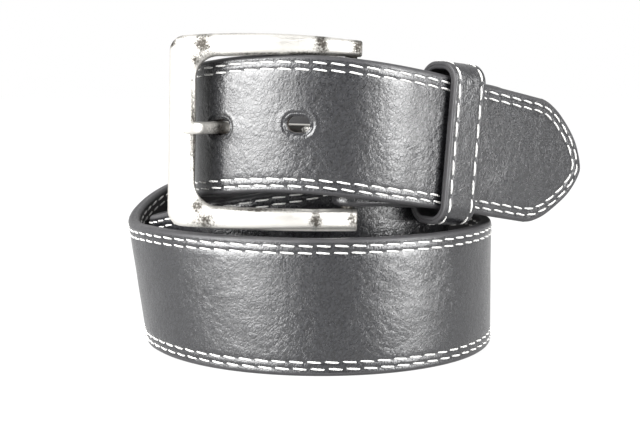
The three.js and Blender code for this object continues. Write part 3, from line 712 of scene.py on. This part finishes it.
def stadium(length, height, segments=14):
    """A slot's outline: two half circles joined by straight sides."""
    reach = (length - height) / 2
    right = np.linspace(-math.pi / 2, math.pi / 2, segments)
    left = right + math.pi
    ends = [(reach + height / 2 * math.cos(a), height / 2 * math.sin(a)) for a in right]
    ends += [(-reach + height / 2 * math.cos(a), height / 2 * math.sin(a)) for a in left]
    return np.array(ends)


def strap_cutter(with_chape):
    """One tool that cuts every slot and hole of a strap layer."""
    slot = stadium(SLOT_LENGTH, SLOT_HEIGHT)
    prisms = [strap_prism(at, slot, -THICKNESS - 2, 2) for at in SLOT_LENGTHS]
    for side in (-1, 1):
        hole = stadium(2 * RIVET["hole"] + 0.01, 2 * RIVET["hole"]) + (0, side * RIVET["across"])
        prisms.append(strap_prism(RIVET["along"], hole, -TAIL_DEPTH - 1.5, 2))
    if with_chape:
        length = PRONG_SLOT["back"] + PRONG_SLOT["forward"]
        shift = ((PRONG_SLOT["forward"] - PRONG_SLOT["back"]) / 2, PRONG_SLOT["rise"])
        mouth = stadium(length, PRONG_SLOT["height"]) + shift
        prisms.append(strap_prism(0.0, mouth, -2 * WRAP_RADIUS - 2, 2))
    one = grid_faces(2, len(slot), caps=True)
    faces = repeat_faces(one, 2 * len(slot), len(prisms))
    return make_mesh("strap_cutter", np.vstack(prisms), faces)


def build_strap():
    tail_end = -math.pi * WRAP_RADIUS - TAIL_LENGTH
    core_top = -FACE - LAYER_SEAM
    lining_top = core_top - CORE - LAYER_SEAM
    face = layer("strap_face_leather", tail_end, 0.0, -FACE, True, False, [LEATHER, EDGE, BOARD])
    core = layer("strap_core_board", LAYERS_START, core_top, core_top - CORE, False, False,
                 [BOARD, EDGE, BOARD])
    lining = layer("strap_lining_leather", LAYERS_START, lining_top, -THICKNESS, False, True,
                   [BOARD, EDGE, LINING])
    pieces = ((face, "grain_leather", "strap_face"), (core, "leather_board", "strap_core"),
              (lining, "lining_leather", "strap_lining"))
    for piece, slot, node in pieces:
        face_outwards(piece.data, WELD)
        boolean(piece, strap_cutter(piece is face))
        paint(piece, None, slot, "strap", node)


# ------------------------------------------------------------------ stitching

THREAD_HALF_WIDTH = 0.3
THREAD_HALF_HEIGHT = 0.3
STITCH_RINGS = 9
STITCH_SIDES = 8
STITCH_SUNK = 0.3
STITCH_RISE = 0.42
SEAM_STEP = 0.5
SEAM_EASE = 14
STRAP_STITCH = {"pitch": 5.2, "gap": 0.75, "slant": 0.34}
KEEPER_STITCH = {"pitch": 5.7, "gap": 0.7, "slant": 0.25}


def stitch_points(middle, side, rise, t, slant):
    """Rings round every stitch: each rises out of one hole, leans over and dips into the next."""
    height = -STITCH_SUNK + STITCH_RISE * np.sin(math.pi * t) ** 0.55
    fatness = 0.45 + 0.55 * np.sin(math.pi * t) ** 0.45
    drift = slant * (t - 0.5)
    angle = np.linspace(0.0, 2 * math.pi, STITCH_SIDES, endpoint=False)
    wide = THREAD_HALF_WIDTH * fatness[:, None] * np.cos(angle)[None, :] + drift[:, None]
    high = THREAD_HALF_HEIGHT * fatness[:, None] * np.sin(angle)[None, :] + height[:, None]
    return (middle[:, :, None, :] + side[:, :, None, :] * wide[None, :, :, None]
            + rise[:, :, None, :] * high[None, :, :, None])


def sew(name, path, lateral, normal, stitch, first=0.0):
    """A row of separate stitches on a path of points, with the thread's own UV map."""
    position = running_length(path)
    count = int((position[-1] - first) // stitch["pitch"])
    t = np.linspace(0.0, 1.0, STITCH_RINGS)
    starts = first + np.arange(count) * stitch["pitch"] + stitch["gap"] / 2
    at = starts[:, None] + t[None, :] * (stitch["pitch"] - stitch["gap"])
    middle = interpolate(at, position, path)
    side = unit(interpolate(at, position, lateral))
    rise = unit(interpolate(at, position, normal))
    points = stitch_points(middle, side, rise, t, stitch["slant"])
    one = grid_faces(STITCH_RINGS, STITCH_SIDES, caps=True)
    piece = new_piece(name, points, repeat_faces(one, STITCH_RINGS * STITCH_SIDES, count))
    around = np.tile(np.arange(STITCH_SIDES) / STITCH_SIDES, STITCH_RINGS * count)
    along = np.tile(np.repeat(t, STITCH_SIDES), count)
    add_uv(piece.data, "thread", np.stack([along, around], axis=-1))
    piece.data.shade_smooth()
    face_outwards(piece.data)
    return piece


def eased(flat, inward):
    """A seam line at even steps, its corners rounded as a sewing machine turns them."""
    position = running_length(flat)
    even = np.arange(0.0, position[-1], SEAM_STEP)
    both = interpolate(even, position, np.hstack([flat, inward]))
    window = np.hanning(2 * SEAM_EASE + 1)
    window /= window.sum()
    padded = np.pad(both, ((SEAM_EASE, SEAM_EASE), (0, 0)), mode="edge")
    padded[:SEAM_EASE, 0] -= np.arange(SEAM_EASE, 0, -1) * SEAM_STEP
    padded[-SEAM_EASE:, 0] -= np.arange(1, SEAM_EASE + 1) * SEAM_STEP
    smooth = np.stack([np.convolve(column, window, mode="valid") for column in padded.T], axis=-1)
    return smooth[:, :2], unit(smooth[:, 2:])


def strap_row(inset, start, height, facing):
    """Points, sideways and outward directions of a stitch row that goes round the tip."""
    points, inward = outline(start)
    flat, inward = eased(inset_points(points, inward, inset), inward)
    length, width = flat[:, 0], flat[:, 1]
    _, along, up, out = strap_frames(length)
    path = strap_point(length, width, np.full(len(length), height))
    lateral = along * inward[:, :1] + up * inward[:, 1:]
    return path, lateral, out * facing


def build_strap_stitches():
    needle_start = LAYERS_START + 1
    bobbin_start = TAIL_LENGTH + 2
    for row, inset in STITCH_ROWS.items():
        first = 0.6 if row == "outer" else 0.0
        needle_line = strap_row(inset, needle_start, -0.08, 1)
        needle = sew(f"needle_stitches_{row}_row", *needle_line, STRAP_STITCH, first)
        paint(needle, THREAD, "white_thread", "strap", f"needle_thread_{row}_row")
        bobbin_line = strap_row(inset, bobbin_start, -THICKNESS + 0.05, -1)
        bobbin = sew(f"bobbin_stitches_{row}_row", *bobbin_line, STRAP_STITCH, first)
        paint(bobbin, THREAD, "white_thread", "strap", f"bobbin_thread_{row}_row")


# ------------------------------------------------------------------ rivets

def turned(name, profile, origin, axis, across):
    """A body of revolution from (radius, height along the axis) points."""
    angles = np.linspace(0.0, 2 * math.pi, 32, endpoint=False)
    other = np.cross(axis, across)
    spokes = np.cos(angles)[:, None] * across + np.sin(angles)[:, None] * other
    rings = [origin + axis * height + spokes * radius for radius, height in profile]
    return make_mesh(name, np.vstack(rings), grid_faces(len(profile), 32, caps=True), 60)


def build_rivets():
    centre, along, _, out = strap_frames(RIVET["along"])
    square_up = np.cross(out, along)
    head = [(0.6, 0.5), (2.2, 0.44), (3.0, 0.32), (3.4, 0.12), (3.4, 0.0), (1.3, 0.0),
            (1.3, -TAIL_DEPTH - 0.7)]
    seat = -TAIL_DEPTH - 0.35
    cap = [(0.5, seat - 1.45), (1.8, seat - 1.35), (2.8, seat - 1.05), (3.4, seat - 0.6), (3.6, seat - 0.15),
           (3.55, seat), (1.55, seat), (1.55, seat - 0.7)]
    for place, side in (("lower", -1), ("upper", 1)):
        origin = centre + square_up * side * RIVET["across"]
        post = turned(f"rivet_post_{place}_turned", head, origin, out, along)
        paint(post, BRASS, "brass_hardware", "strap", f"rivet_post_{place}")
        dome = turned(f"rivet_cap_{place}_turned", cap, origin, out, along)
        paint(dome, BRASS, "brass_hardware", "strap", f"rivet_cap_{place}")


# ------------------------------------------------------------------ buckle

def from_buckle(points):
    """From the buckle's own frame (its centre, before it is rolled) to the coil's frame."""
    points = np.asarray(points, float)
    c, s = math.cos(FRAME["roll"]), math.sin(FRAME["roll"])
    x = points[..., 0] * c + points[..., 2] * s + FRAME["centre_x"]
    z = -points[..., 0] * s + points[..., 2] * c + FRAME["centre_z"]
    return np.stack([x, points[..., 1], z], axis=-1)


HEEL_BAR_X = (HEEL_AXIS[0] - FRAME["centre_x"]) / math.cos(FRAME["roll"])


def three_sides(left, right, bottom, top, radius):
    """Three sides of a rounded rectangle: lower arm, front bar, upper arm."""
    quarter = np.linspace(0.0, math.pi / 2, 13)
    lower = np.linspace(right, left + radius, 33)
    bar = np.linspace(bottom + radius, top - radius, 25)
    points = [(x, bottom) for x in lower]
    points += [(left + radius - radius * math.sin(a), bottom + radius - radius * math.cos(a))
               for a in quarter[1:-1]]
    points += [(left, z) for z in bar]
    points += [(left + radius - radius * math.cos(a), top - radius + radius * math.sin(a))
               for a in quarter[1:-1]]
    points += [(x, top) for x in lower[::-1]]
    return np.array(points)


def swell(points, upper, lower):
    """The arms swell a little at the middle of their length."""
    middle = np.maximum(1 - (points[:, 0] / FRAME["half_width"]) ** 2, 0.0)
    reach = np.abs(points[:, 1]) / ARM["bottom_outer"]
    amount = np.where(points[:, 1] > 0, upper, lower) * middle * reach
    return np.stack([points[:, 0], points[:, 1] + amount], axis=-1)


def frame_front(x):
    return FRAME["crest_y"] + (x - FRAME["crest_x"]) ** 2 / (2 * FRAME["bow_radius"])


def frame_depth(x):
    return FRAME["thickness"] + FRAME["heel_extra"] * smoothstep(x, 14.0, 24.0)


# Across the frame from its outer edge to its inner edge: share of the way, depth behind the crest,
# and whether that depth is measured from the front or the back.
FRAME_SECTION = [
    (0.04, 0.0, "back"), (0.0, 0.45, "back"),
    (0.0, 1.9, "front"), (0.015, 1.45, "front"), (0.05, 1.0, "front"), (0.11, 0.6, "front"),
    (0.2, 0.28, "front"), (0.33, 0.08, "front"), (0.5, 0.0, "front"),
    (0.67, 0.08, "front"), (0.8, 0.28, "front"), (0.875, 0.5, "front"), (0.91, 0.72, "front"),
    (0.955, 1.15, "front"), (0.985, 1.6, "front"), (1.0, 2.1, "front"),
    (1.0, 0.45, "back"), (0.96, 0.0, "back"),
]

# Where the plate is painted dark: real tarnish in places, painted shade along the inner edges, the lower
# edge and in the corners, and painted dark reflections across the arms. x and z on the frame from its
# centre, half sizes, and how dark.
PATINA_AND_PAINTED_SHADE = [
    (-16.8, 25.8, 4.4, 5.6, 0.8), (-19.5, 21.5, 2.6, 3.4, 0.75), (-27.0, 26.2, 2.4, 1.8, 0.9),
    (-23.5, 27.6, 3.0, 0.9, 0.7), (-8.0, 28.6, 9.0, 0.9, 0.5), (12.0, 28.6, 9.0, 0.8, 0.5),
    (17.0, 25.6, 3.2, 5.0, 0.8), (12.0, 22.7, 9.0, 1.1, 0.75), (27.6, 25.4, 2.8, 4.8, 0.85),
    (-17.0, -25.0, 6.0, 3.8, 0.76), (-19.4, -21.4, 3.4, 3.0, 0.8), (15.5, -25.0, 2.9, 4.0, 0.8),
    (26.4, -25.2, 3.4, 4.0, 0.76), (-20.4, 0.0, 2.0, 24.0, 0.6), (-20.3, 0.0, 0.8, 24.0, 0.8),
    (-2.0, -21.9, 18.0, 1.0, 0.7), (-2.0, 22.8, 18.0, 0.6, 0.6), (0.0, -28.6, 22.0, 0.6, 0.6),
]
# Painted shade on the prong where it dives into the strap: x and z, half sizes, and how dark.
PRONG_PAINTED_SHADE = [(-13.0, 1.0, 5.0, 3.0, 0.6)]


def mark_patina_and_shade(piece, spots, shaded_behind):
    """A value on every vertex for the plate's dark mark: high inside the spots (real tarnish, painted shade
    and painted dark reflection) and, where asked, behind the frame's face (painted shade).
    """
    values = []
    for vertex in piece.data.vertices:
        place = np.array(vertex.co) / MM - SHIFT
        x = place[0] - FRAME["centre_x"]
        z = place[2] - FRAME["centre_z"]
        value = 0.0
        for px, pz, rx, rz, strength in spots:
            value = max(value, strength * math.exp(-((x - px) / rx) ** 2 - ((z - pz) / rz) ** 2))
        behind = place[1] - frame_front(x)
        # Painted shade: everything set back behind the frame's face, the heel bar included, is darkened.
        values.append(max(value, 0.8 * float(smoothstep(behind, 1.7, 3.2))) if shaded_behind else value)
    attribute = piece.data.attributes.new("patina_and_shade", "FLOAT", "POINT")
    attribute.data.foreach_set("value", values)


def frame_rings(outer, inner):
    """The section of the frame at each pair of outer and inner edge points."""
    rings = []
    for o, i in zip(outer, inner):
        ring = []
        for share, depth, side in FRAME_SECTION:
            x, z = o + (i - o) * share
            y = frame_front(x) + (depth if side == "front" else frame_depth(x) - depth)
            ring.append((x, y, z))
        rings.append(ring)
    return np.array(rings)


def frame_end(ring):
    """The slightly smaller section that rounds off the end of an arm."""
    middle = ring.mean(axis=0)
    small = middle + (ring - middle) * (1.0, 0.84, 0.86)
    small[:, 0] = FRAME["right"]
    return small[None]


def heel_bar():
    """The straight round bar between the arms."""
    reach = ARM["top_inner"] + 1.5
    sides = 28
    angles = np.linspace(0.0, 2 * math.pi, sides, endpoint=False)
    x = HEEL_BAR_X + HEEL_BAR_RADIUS * np.cos(angles)
    y = HEEL_AXIS[1] + HEEL_BAR_RADIUS * np.sin(angles)
    circle = np.stack([x, y, np.zeros(sides)], axis=-1)
    rod = np.concatenate([circle + (0, 0, z) for z in (-reach, reach)])
    return make_mesh("heel_bar", from_buckle(rod), grid_faces(2, sides, caps=True))


def build_frame():
    left = -FRAME["half_width"]
    right = FRAME["right"] - 0.35
    outer = three_sides(left, right, -ARM["bottom_outer"], ARM["top_outer"], FRAME["outer_radius"])
    inner = three_sides(left + FRAME["front_bar"], right, -ARM["bottom_inner"], ARM["top_inner"],
                        FRAME["inner_radius"])
    outer = swell(outer, 1.3, 0.3)
    inner = swell(inner, 0.0, 0.4)
    inner[:, 1] -= np.where(inner[:, 1] > 0, 0.9 * hump(inner[:, 0], -12.0, 10.0), 0.0)
    rings = frame_rings(outer, inner)
    body = np.concatenate([frame_end(rings[0]), rings, frame_end(rings[-1])])
    faces = grid_faces(len(body), len(FRAME_SECTION), caps=True)
    piece = make_mesh("buckle_frame_cast", from_buckle(body), faces)
    boolean(piece, heel_bar(), "UNION")
    # Tarnish, painted shade and painted dark reflections on the frame.
    mark_patina_and_shade(piece, PATINA_AND_PAINTED_SHADE, shaded_behind=True)
    shade(piece.data, 48.0)
    paint(piece, NICKEL, "antique_nickel", "buckle", "buckle_frame")


def build_prong():
    """A bent bar whose end curls round the heel bar and whose tip is flattened on the front bar."""
    eye = np.array([HEEL_BAR_X, HEEL_AXIS[1]])
    curl_radius = HEEL_BAR_RADIUS + 0.95
    curl = [eye + curl_radius * np.array([math.cos(a), math.sin(a)])
            for a in np.radians(np.arange(215.0, -71.0, -15.0))]
    run = [np.array([x - FRAME["centre_x"], y]) for x, y in PRONG_ROUTE]
    path = catmull([*curl[::-1], *run], 0.9)
    position = running_length(path)
    total = position[-1]
    curl_end = len(curl) * curl_radius * math.radians(15.0)
    tangent = unit(np.gradient(path, axis=0))
    body = smoothstep(position, curl_end, curl_end + 7.0)
    tip = smoothstep(position, total - 2.2, total)
    half = (0.62 + 0.5 * body) * (1 - 0.45 * tip)
    tall = (1.75 + 0.1 * body) * (1 - 0.4 * tip ** 2)
    angles = np.linspace(0.0, 2 * math.pi, 20, endpoint=False)
    across = np.sign(np.cos(angles)) * np.abs(np.cos(angles)) ** 0.75
    upward = np.sign(np.sin(angles)) * np.abs(np.sin(angles)) ** 0.8
    rings = []
    for point, direction, thick, height in zip(path, tangent, half, tall):
        x = point[0] - direction[1] * across * thick
        y = point[1] + direction[0] * across * thick
        rings.append(np.stack([x, y, upward * height + PRONG_LIFT], axis=-1))
    end = rings[-1].mean(axis=0)
    rings.append(end + (rings[-1] - end) * 0.45 + (tangent[-1][0] * 0.35, tangent[-1][1] * 0.35, 0))
    rings = np.array(rings)
    piece = make_mesh("prong_bent", from_buckle(rings), grid_faces(len(rings), 20, caps=True), 60)
    # Painted shade on the prong where it goes into the strap.
    mark_patina_and_shade(piece, PRONG_PAINTED_SHADE, shaded_behind=False)
    paint(piece, NICKEL, "antique_nickel", "prong", "prong")


# ------------------------------------------------------------------ keeper

# Takes the keeper's leather from another part of the hide than the strap's.
KEEPER_GRAIN_SHIFT = 300.0

KEEPER_CENTRE, STRAP_ALONG, STRAP_UP, KEEPER_OUT = strap_frames(STRAP_LENGTH - KEEPER["from_tip"])
KEEPER_ALONG = STRAP_ALONG * math.cos(KEEPER["skew"]) + STRAP_UP * math.sin(KEEPER["skew"])
KEEPER_UP = STRAP_UP * math.cos(KEEPER["skew"]) - STRAP_ALONG * math.sin(KEEPER["skew"])


def keeper_outline(grow):
    """The loop from its seam at the back, over the top and round: (out of the face, up the width)."""
    radius = KEEPER["radius"] + grow
    back, front = -KEEPER["back"] - grow, KEEPER["front"] + grow
    top, bottom = KEEPER["top"] + grow, KEEPER["bottom"] - grow
    seam = KEEPER["seam"] / 2
    quarter = np.linspace(0.0, math.pi / 2, 13)
    corners = [((back + radius, top - radius), math.pi), ((front - radius, top - radius), math.pi / 2),
               ((front - radius, bottom + radius), 0.0), ((back + radius, bottom + radius), -math.pi / 2)]
    points = [(back, z) for z in np.linspace(seam, top - radius, 8)[:-1]]
    for i, ((x, y), start) in enumerate(corners):
        points += [(x + radius * math.cos(start - a), y + radius * math.sin(start - a)) for a in quarter]
        if i == 1:
            points += [(front, z) for z in np.linspace(top - radius, bottom + radius, 25)[1:-1]]
    points += [(back, z) for z in np.linspace(bottom + radius, -seam, 8)[1:]]
    return np.array(points)


def keeper_points(outline_points, along):
    flat = np.asarray(outline_points)
    return (KEEPER_CENTRE + flat[..., :1] * KEEPER_OUT + flat[..., 1:2] * KEEPER_UP
            + np.asarray(along)[..., None] * KEEPER_ALONG)


def keeper_section(inner, outer, round_outer):
    """Round the section of a ply: place along the strap, growth of the loop, material slot."""
    half = KEEPER["width"] / 2
    bevel = KEEPER["bevel"]
    corner = np.linspace(0.0, math.pi / 2, 5)[1:]
    broad = [(a, 0.0, UPPER) for a in np.linspace(-half + 3.0, half - 3.0, 9)]
    edge = [(half - 2.4, 0.0, UPPER), (half - KEEPER["row"], -0.1, UPPER), (half - 1.4, 0.0, UPPER),
            (half - bevel, 0.0, UPPER)]
    edge += [(half - bevel + bevel * math.sin(a), -bevel * (1 - math.cos(a)), PAINTED) for a in corner]
    rows = [(-a, grow, mark) for a, grow, mark in edge[::-1]] + broad + edge
    near, far, sign = (outer, inner, 1) if round_outer else (inner, outer, -1)
    section = [(a, near + sign * grow, mark) for a, grow, mark in rows]
    section += [(half, far + 0.02 * sign, PAINTED), (half - 0.05, far, UNDER),
                (-half + 0.05, far, UNDER), (-half, far + 0.02 * sign, PAINTED)]
    return section


def keeper_ply(name, inner, outer, round_outer, materials):
    """One ply of the keeper: a band with its outer or inner corners rounded and painted."""
    places, grows, marks = zip(*keeper_section(inner, outer, round_outer))
    loops = [keeper_outline(grow) for grow in grows]
    grid = np.stack([keeper_points(loop, np.full(len(loop), a)) for loop, a in zip(loops, places)], axis=1)
    count, columns = grid.shape[:2]
    around = np.tile(running_length(keeper_outline(outer))[:, None], (1, columns))
    across = np.tile(places, (count, 1))
    faces = grid_faces(count, columns, caps=True)
    piece = strap_piece(name, grid, faces, across + KEEPER_GRAIN_SHIFT, around)
    for material in materials:
        piece.data.materials.append(material)
    strips = [strip_material(a, b) for a, b in zip(marks, marks[1:] + marks[:1])]
    for polygon in piece.data.polygons:
        on_end = polygon.index >= len(faces) - 2
        polygon.material_index = UNDER if on_end else strips[polygon.index % columns]
    face_outwards(piece.data, WELD)
    return piece


def build_keeper():
    ply = KEEPER["ply"]
    face = keeper_ply("keeper_face_leather", ply + KEEPER["gap"], KEEPER_OUTSIDE, True,
                      [LEATHER, EDGE, BOARD])
    lining = keeper_ply("keeper_lining_leather", 0.0, ply, False, [LINING, EDGE, BOARD])
    paint(face, None, "grain_leather", "keeper", "keeper_face")
    paint(lining, None, "lining_leather", "keeper", "keeper_lining")
    for place, side in (("buckle_side", -1), ("tip_side", 1)):
        flat = keeper_outline(KEEPER_OUTSIDE - 0.06)
        shift = np.full(len(flat), side * (KEEPER["width"] / 2 - KEEPER["row"]))
        path = keeper_points(flat, shift)
        tangent = unit(np.gradient(path, axis=0))
        lateral = np.tile(KEEPER_ALONG, (len(path), 1))
        normal = unit(np.cross(lateral, tangent))
        outward = path - (KEEPER_CENTRE - KEEPER_OUT * KEEPER["back"] / 2)
        normal *= np.sign((normal * outward).sum(axis=1))[:, None]
        row = sew(f"keeper_stitches_{place}", path, lateral, normal, KEEPER_STITCH, 0.8)
        paint(row, THREAD, "white_thread", "keeper", f"keeper_thread_{place}")
    staple = frame["nodes"]["keeper_staple"]
    staple.data.materials.clear()
    staple.data.materials.append(BRASS)
    bevel = staple.modifiers.new("softened", "BEVEL")
    bevel.width = 0.08 * MM
    bevel.segments = 2


# ------------------------------------------------------------------ floor, light and camera

def build_stage():
    nodes = Nodes("pale_floor")
    place = nodes.add("ShaderNodeTexCoord").outputs["Object"]
    tone = nodes.mix(nodes.noise(place, 3.0, 2.0), colour(0.055, 0.055, 0.055), colour(0.065, 0.065, 0.065))
    nodes.set(Base_Color=tone, Roughness=0.7, Emission_Color=colour(1.0, 1.0, 1.0), Emission_Strength=0.88)
    mesh = bpy.data.meshes.new("floor")
    size = 6.0
    corners = [(-size, -size, 0), (size, -size, 0), (size, size, 0), (-size, size, 0)]
    mesh.from_pydata(corners, [], [(0, 1, 2, 3)])
    floor = bpy.data.objects.new("floor", mesh)
    floor.data.materials.append(nodes.material)
    bpy.context.scene.collection.objects.link(floor)


def softbox(name, azimuth, elevation, distance, width, height, power):
    """A soft area light aimed at the belt. Azimuth 0 is the camera's side, positive to its right."""
    a, e = math.radians(azimuth), math.radians(elevation)
    target = Vector((0.0, 0.0, 0.05))
    toward = Vector((math.sin(a) * math.cos(e), -math.cos(a) * math.cos(e), math.sin(e)))
    light = bpy.data.lights.new(name, "AREA")
    light.shape = "RECTANGLE"
    light.size, light.size_y = width, height
    light.energy = power
    lamp = bpy.data.objects.new(name, light)
    lamp.location = target + toward * distance
    lamp.visible_camera = False
    lamp.rotation_mode = "QUATERNION"
    lamp.rotation_quaternion = toward.to_track_quat("Z", "Y")
    bpy.context.scene.collection.objects.link(lamp)


def build_world():
    """A white studio: bright behind the belt, dark on the camera's side; the camera sees white."""
    world = bpy.data.worlds.new("studio")
    world.use_nodes = True
    tree = world.node_tree
    background = tree.nodes["Background"]
    direction = tree.nodes.new("ShaderNodeTexCoord").outputs["Generated"]
    split = tree.nodes.new("ShaderNodeSeparateXYZ")
    tree.links.new(direction, split.inputs[0])
    fade = tree.nodes.new("ShaderNodeMapRange")
    fade.interpolation_type = "SMOOTHSTEP"
    for socket, value in (("From Min", -0.3), ("From Max", 0.5), ("To Min", 0.03), ("To Max", 1.0)):
        fade.inputs[socket].default_value = value
    tree.links.new(split.outputs["Y"], fade.inputs["Value"])
    seen = tree.nodes.new("ShaderNodeLightPath").outputs["Is Camera Ray"]
    strength = tree.nodes.new("ShaderNodeMath")
    strength.operation = "MAXIMUM"
    tree.links.new(fade.outputs["Result"], strength.inputs[0])
    tree.links.new(seen, strength.inputs[1])
    tree.links.new(strength.outputs[0], background.inputs["Strength"])
    background.inputs["Color"].default_value = colour(1.0, 1.0, 1.0)
    bpy.context.scene.world = world


def build_light():
    build_world()
    softbox("left_softbox", -50, 20, 0.9, 0.74, 0.85, 40.0)
    softbox("right_softbox", 53, 17, 0.55, 0.26, 0.5, 8.6)
    softbox("top_softbox", 0, 78, 1.0, 0.8, 0.6, 2.0)
    bpy.context.scene.view_settings.view_transform = "Standard"


def build_camera():
    """A camera in front of the coil's centre, a little above it, looking slightly down."""
    data = bpy.data.cameras.new("camera")
    data.sensor_width = CAMERA["sensor"]
    data.lens = CAMERA["lens"]
    data.clip_start = 0.02
    camera = bpy.data.objects.new("camera", data)
    camera.location = (np.array([0.0, -CAMERA["distance"], CAMERA["height"]]) + SHIFT) * MM
    camera.rotation_euler = (math.pi / 2 - CAMERA["pitch"], 0.0, 0.0)
    bpy.context.scene.collection.objects.link(camera)
    bpy.context.scene.camera = camera


build_camera()
build_light()
build_stage()
build_strap()
build_strap_stitches()
build_rivets()
build_frame()
build_prong()
build_keeper()
